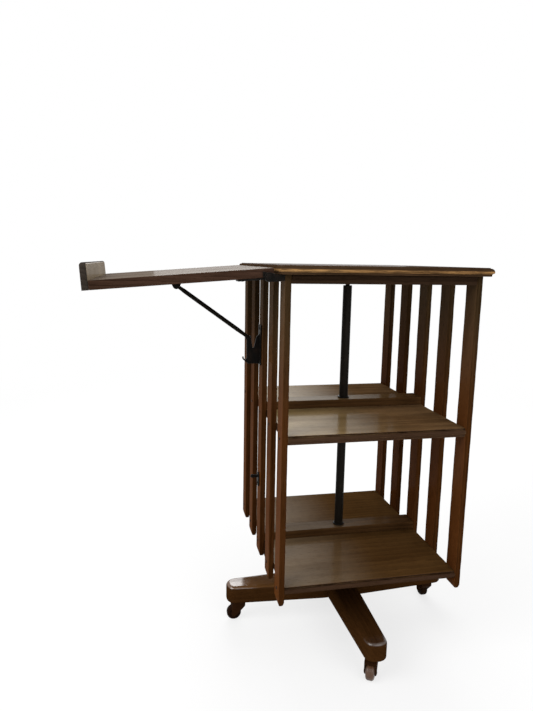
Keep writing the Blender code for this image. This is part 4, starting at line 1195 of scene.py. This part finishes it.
def add_rod():
    """The strut: a shank between its eye on the lug pin and its rounded foot."""
    way = hook_place() - lug_pin_place
    long = way.length
    shank = list(zip((ROD_END, ROD_END, ROD_SHANK), SWELL_AT_EYE))
    shank += [(radius, long - step) for radius, step in zip((ROD_SHANK, ROD_END), SWELL_AT_FOOT)]
    shank += [(radius, step) for step, radius in arc((long, 0), ROD_END, 90, 10, ROD_FOOT_STEPS)]
    eye = [(ROD_HOLE, -ROD_END), *eased_pin(ROD_EYE, EYE_EASE, -ROD_END, ROD_END), (ROD_HOLE, ROD_END)]
    meshes = [turned("shank", shank, ROD_STEPS, False, lug_pin_place, way),
              turned("eye", eye, ROD_STEPS, True, lug_pin_place, (0, 1, 0))]
    return stand_for("forged_strut_rod", joined("strut_rod", meshes), rod_iron, "strut_rod")


rod = add_rod()
print("rod:", rod.name)

# %% Put the cross pin through
CROSS_PIN_RADIUS = 0.0026
CROSS_PIN_LENGTH = 0.0125
CROSS_PIN_SUNK = 0.0012
CROSS_PIN_EASE = CROSS_PIN_RADIUS * 0.3
CROSS_PIN_STEPS = 24


def add_cross_pin():
    """The pin through the strut's foot, which lies in the rack's upper hook."""
    foot = hook_place() - Vector((0, ROD_END - CROSS_PIN_SUNK, 0))
    profile = eased_pin(CROSS_PIN_RADIUS, CROSS_PIN_EASE, 0, CROSS_PIN_LENGTH)
    mesh = turned("strut_cross_pin", profile, CROSS_PIN_STEPS, False, foot, (0, 1, 0))
    return show("strut_cross_pin", mesh, iron, "strut_rod")


cross_pin = add_cross_pin()
print("cross pin:", cross_pin.name)

# %% [markdown]
# ## A screw
# Slotted screws hold the slats to the shelves and the irons to the wood. A sphere pressed flat could pass
# for a head from afar, but not without its slot. So one low domed head is turned, its slot is cut, and a
# copy is laid at each place with its slot at a chance angle, as a hand leaves it. Copies that hold the
# same thing are one mesh, because no one would pick them up one by one.

# %% Turn a screw head
HEAD_RADIUS = 0.0034
HEAD_HEIGHT = 0.0013
HEAD_SUNK = 0.0006
HEAD_TURNS = (0, 25, 50, 72)
HEAD_STEPS = 24
SLOT_WIDTH = 0.0009
SLOT_DEPTH = 0.0008


def screw_head():
    """A low domed head with a slot, sunk a little below its seat."""
    turns = [math.radians(angle) for angle in HEAD_TURNS]
    dome = [(HEAD_RADIUS * math.cos(t), HEAD_HEIGHT * math.sin(t)) for t in turns]
    whole = turned("head", [(HEAD_RADIUS, -HEAD_SUNK)] + dome, HEAD_STEPS)
    slot = block((-2 * HEAD_RADIUS, -SLOT_WIDTH / 2, HEAD_HEIGHT - SLOT_DEPTH),
                 (2 * HEAD_RADIUS, SLOT_WIDTH / 2, 1))
    return cut(whole, slot)


head = screw_head()
print("screw head:", len(head.polygons), "faces")

# %% Drive copies of it
SLOT_WAVES = (1.7, 0.31, 0.5)
SLOT_SWING = 3.0


def drive(name, places, way, node):
    """Screw heads at several places, looking one way, as one piece on the node's body."""
    lay = Vector((0, 0, 1)).rotation_difference(Vector(way)).to_matrix().to_4x4()
    copies = []
    for k, place in enumerate(places):
        turn = Matrix.Rotation(chance_at(SLOT_WAVES, k, len(name), 1) * SLOT_SWING, 4, 'Z')
        copy = head.copy()
        copy.transform(Matrix.Translation(place) @ lay @ turn)
        copies.append(copy)
    return show(name, joined(name, copies), iron, node)


print("slots are turned by up to about", SLOT_SWING, "radians")

# %% [markdown]
# ## Where the screws go
# Each slat has a screw at each shelf, each iron one to four, and the lip four. The places could be typed
# as points, but then they would be wrong if a size changed. They are reckoned from the boxes of the
# pieces they hold, with the few distances that a maker would mark out with a rule. Those on the flap are
# given along the flap, because it leans.

# %% Screw the slats to the shelves
screws = []


def middle_of(node):
    """Middle of a node's box."""
    low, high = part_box(node)
    return (low + high) / 2


shelf_levels = [middle_of(shelf).z for shelf in ("bottom_shelf", "middle_shelf")]
for side, way in (("left", -1), ("right", 1)):
    face = max(abs(corner.x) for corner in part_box(f"{side}_slat_1"))
    spots = [(way * face, middle_of(f"{side}_slat_{k}").y, z) for k in range(1, 6) for z in shelf_levels]
    screws.append(drive(f"slat_screws_{side}", spots, (way, 0, 0), f"{side}_slat_1"))
print("screws of the slats:", [piece.name for piece in screws])

# %% Screw the hinges to the slats and the flap
TO_LEFT = (-1, 0, 0)
PLATE_FACE = 0.0033
BRACKET_UP = 0.0058
BRACKET_ACROSS = (0.2105, 0.1945)
LEAF_ACROSS = 0.202
LEAF_OUT = (0.022, 0.046)
flap_hinge = Vector(joint_row("flap_fold")["pos_m"])
iron_face = min(corner.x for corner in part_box("left_slat_1")) - PLATE_FACE
under_flap = reach_of("flap_board", flap_up)[0] - flap_hinge.dot(flap_up) - PLATE_FACE


def on_flap(out, y, up):
    """A place given along the flap from its hinge, across it, and up from the hinge."""
    return flap_hinge + flap_out * out + Vector((0, y, 0)) + flap_up * up


for end, way in (("front", -1), ("rear", 1)):
    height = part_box(f"hinge_bracket_{end}")[0].z + BRACKET_UP
    spots = [(iron_face, way * y, height) for y in BRACKET_ACROSS]
    screws.append(drive(f"bracket_screws_{end}", spots, TO_LEFT, f"hinge_bracket_{end}"))
    spots = [on_flap(out, way * LEAF_ACROSS, under_flap) for out in LEAF_OUT]
    screws.append(drive(f"leaf_screws_{end}", spots, -flap_up, f"hinge_leaf_{end}"))
print("screws of the hinges:", [piece.name for piece in screws[2:]])

# %% Screw the rack and the peg to the middle slat
RACK_TOP_ACROSS = 0.0025
RACK_TOP_DOWN = 0.0075
RACK_FOOT_ACROSS = (-0.0056, 0.0106)
RACK_FOOT_UP = 0.010
PEG_UP = 0.0085
rack_low, rack_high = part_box("strut_rack")
spots = [(iron_face, RACK_TOP_ACROSS, rack_high.z - RACK_TOP_DOWN)]
spots += [(iron_face, y, rack_low.z + RACK_FOOT_UP) for y in RACK_FOOT_ACROSS]
screws.append(drive("rack_screws", spots, TO_LEFT, "strut_rack"))
spots = [(iron_face, 0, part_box("rest_peg")[0].z + PEG_UP)]
screws.append(drive("peg_screw", spots, TO_LEFT, "rest_peg"))
print("screws of the rack and the peg:", [piece.name for piece in screws[-2:]])

# %% Screw on the lug, the lip and the post's socket
LUG_ACROSS = -0.0195
LUG_STEP = 0.0135
LIP_UP = 0.012
LIP_ACROSS = (-0.17, -0.06, 0.06, 0.17)
FLANGE_THICK = 0.005
FLANGE_RADIUS = 0.0405
FLANGE_WAYS = ((1, 0), (0, 1), (-1, 0), (0, -1))
hinge_out = flap_hinge.dot(flap_out)
lug_middle = sum(reach_of("strut_lug", flap_out)) / 2 - hinge_out
spots = [on_flap(lug_middle + step, LUG_ACROSS, under_flap) for step in (-LUG_STEP, LUG_STEP)]
screws.append(drive("lug_screws", spots, -flap_up, "strut_lug"))
lip_face = reach_of("flap_lip", flap_out)[1] - hinge_out
spots = [on_flap(lip_face, y, under_flap + LIP_UP) for y in LIP_ACROSS]
screws.append(drive("lip_screws", spots, flap_out, "flap_lip"))
flange_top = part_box("spindle_socket")[0].z + FLANGE_THICK
spots = [(FLANGE_RADIUS * x, FLANGE_RADIUS * y, flange_top) for x, y in FLANGE_WAYS]
screws.append(drive("socket_screws", spots, (0, 0, 1), "spindle_socket"))
print("screws of the lug, the lip and the socket:", [piece.name for piece in screws[-3:]])
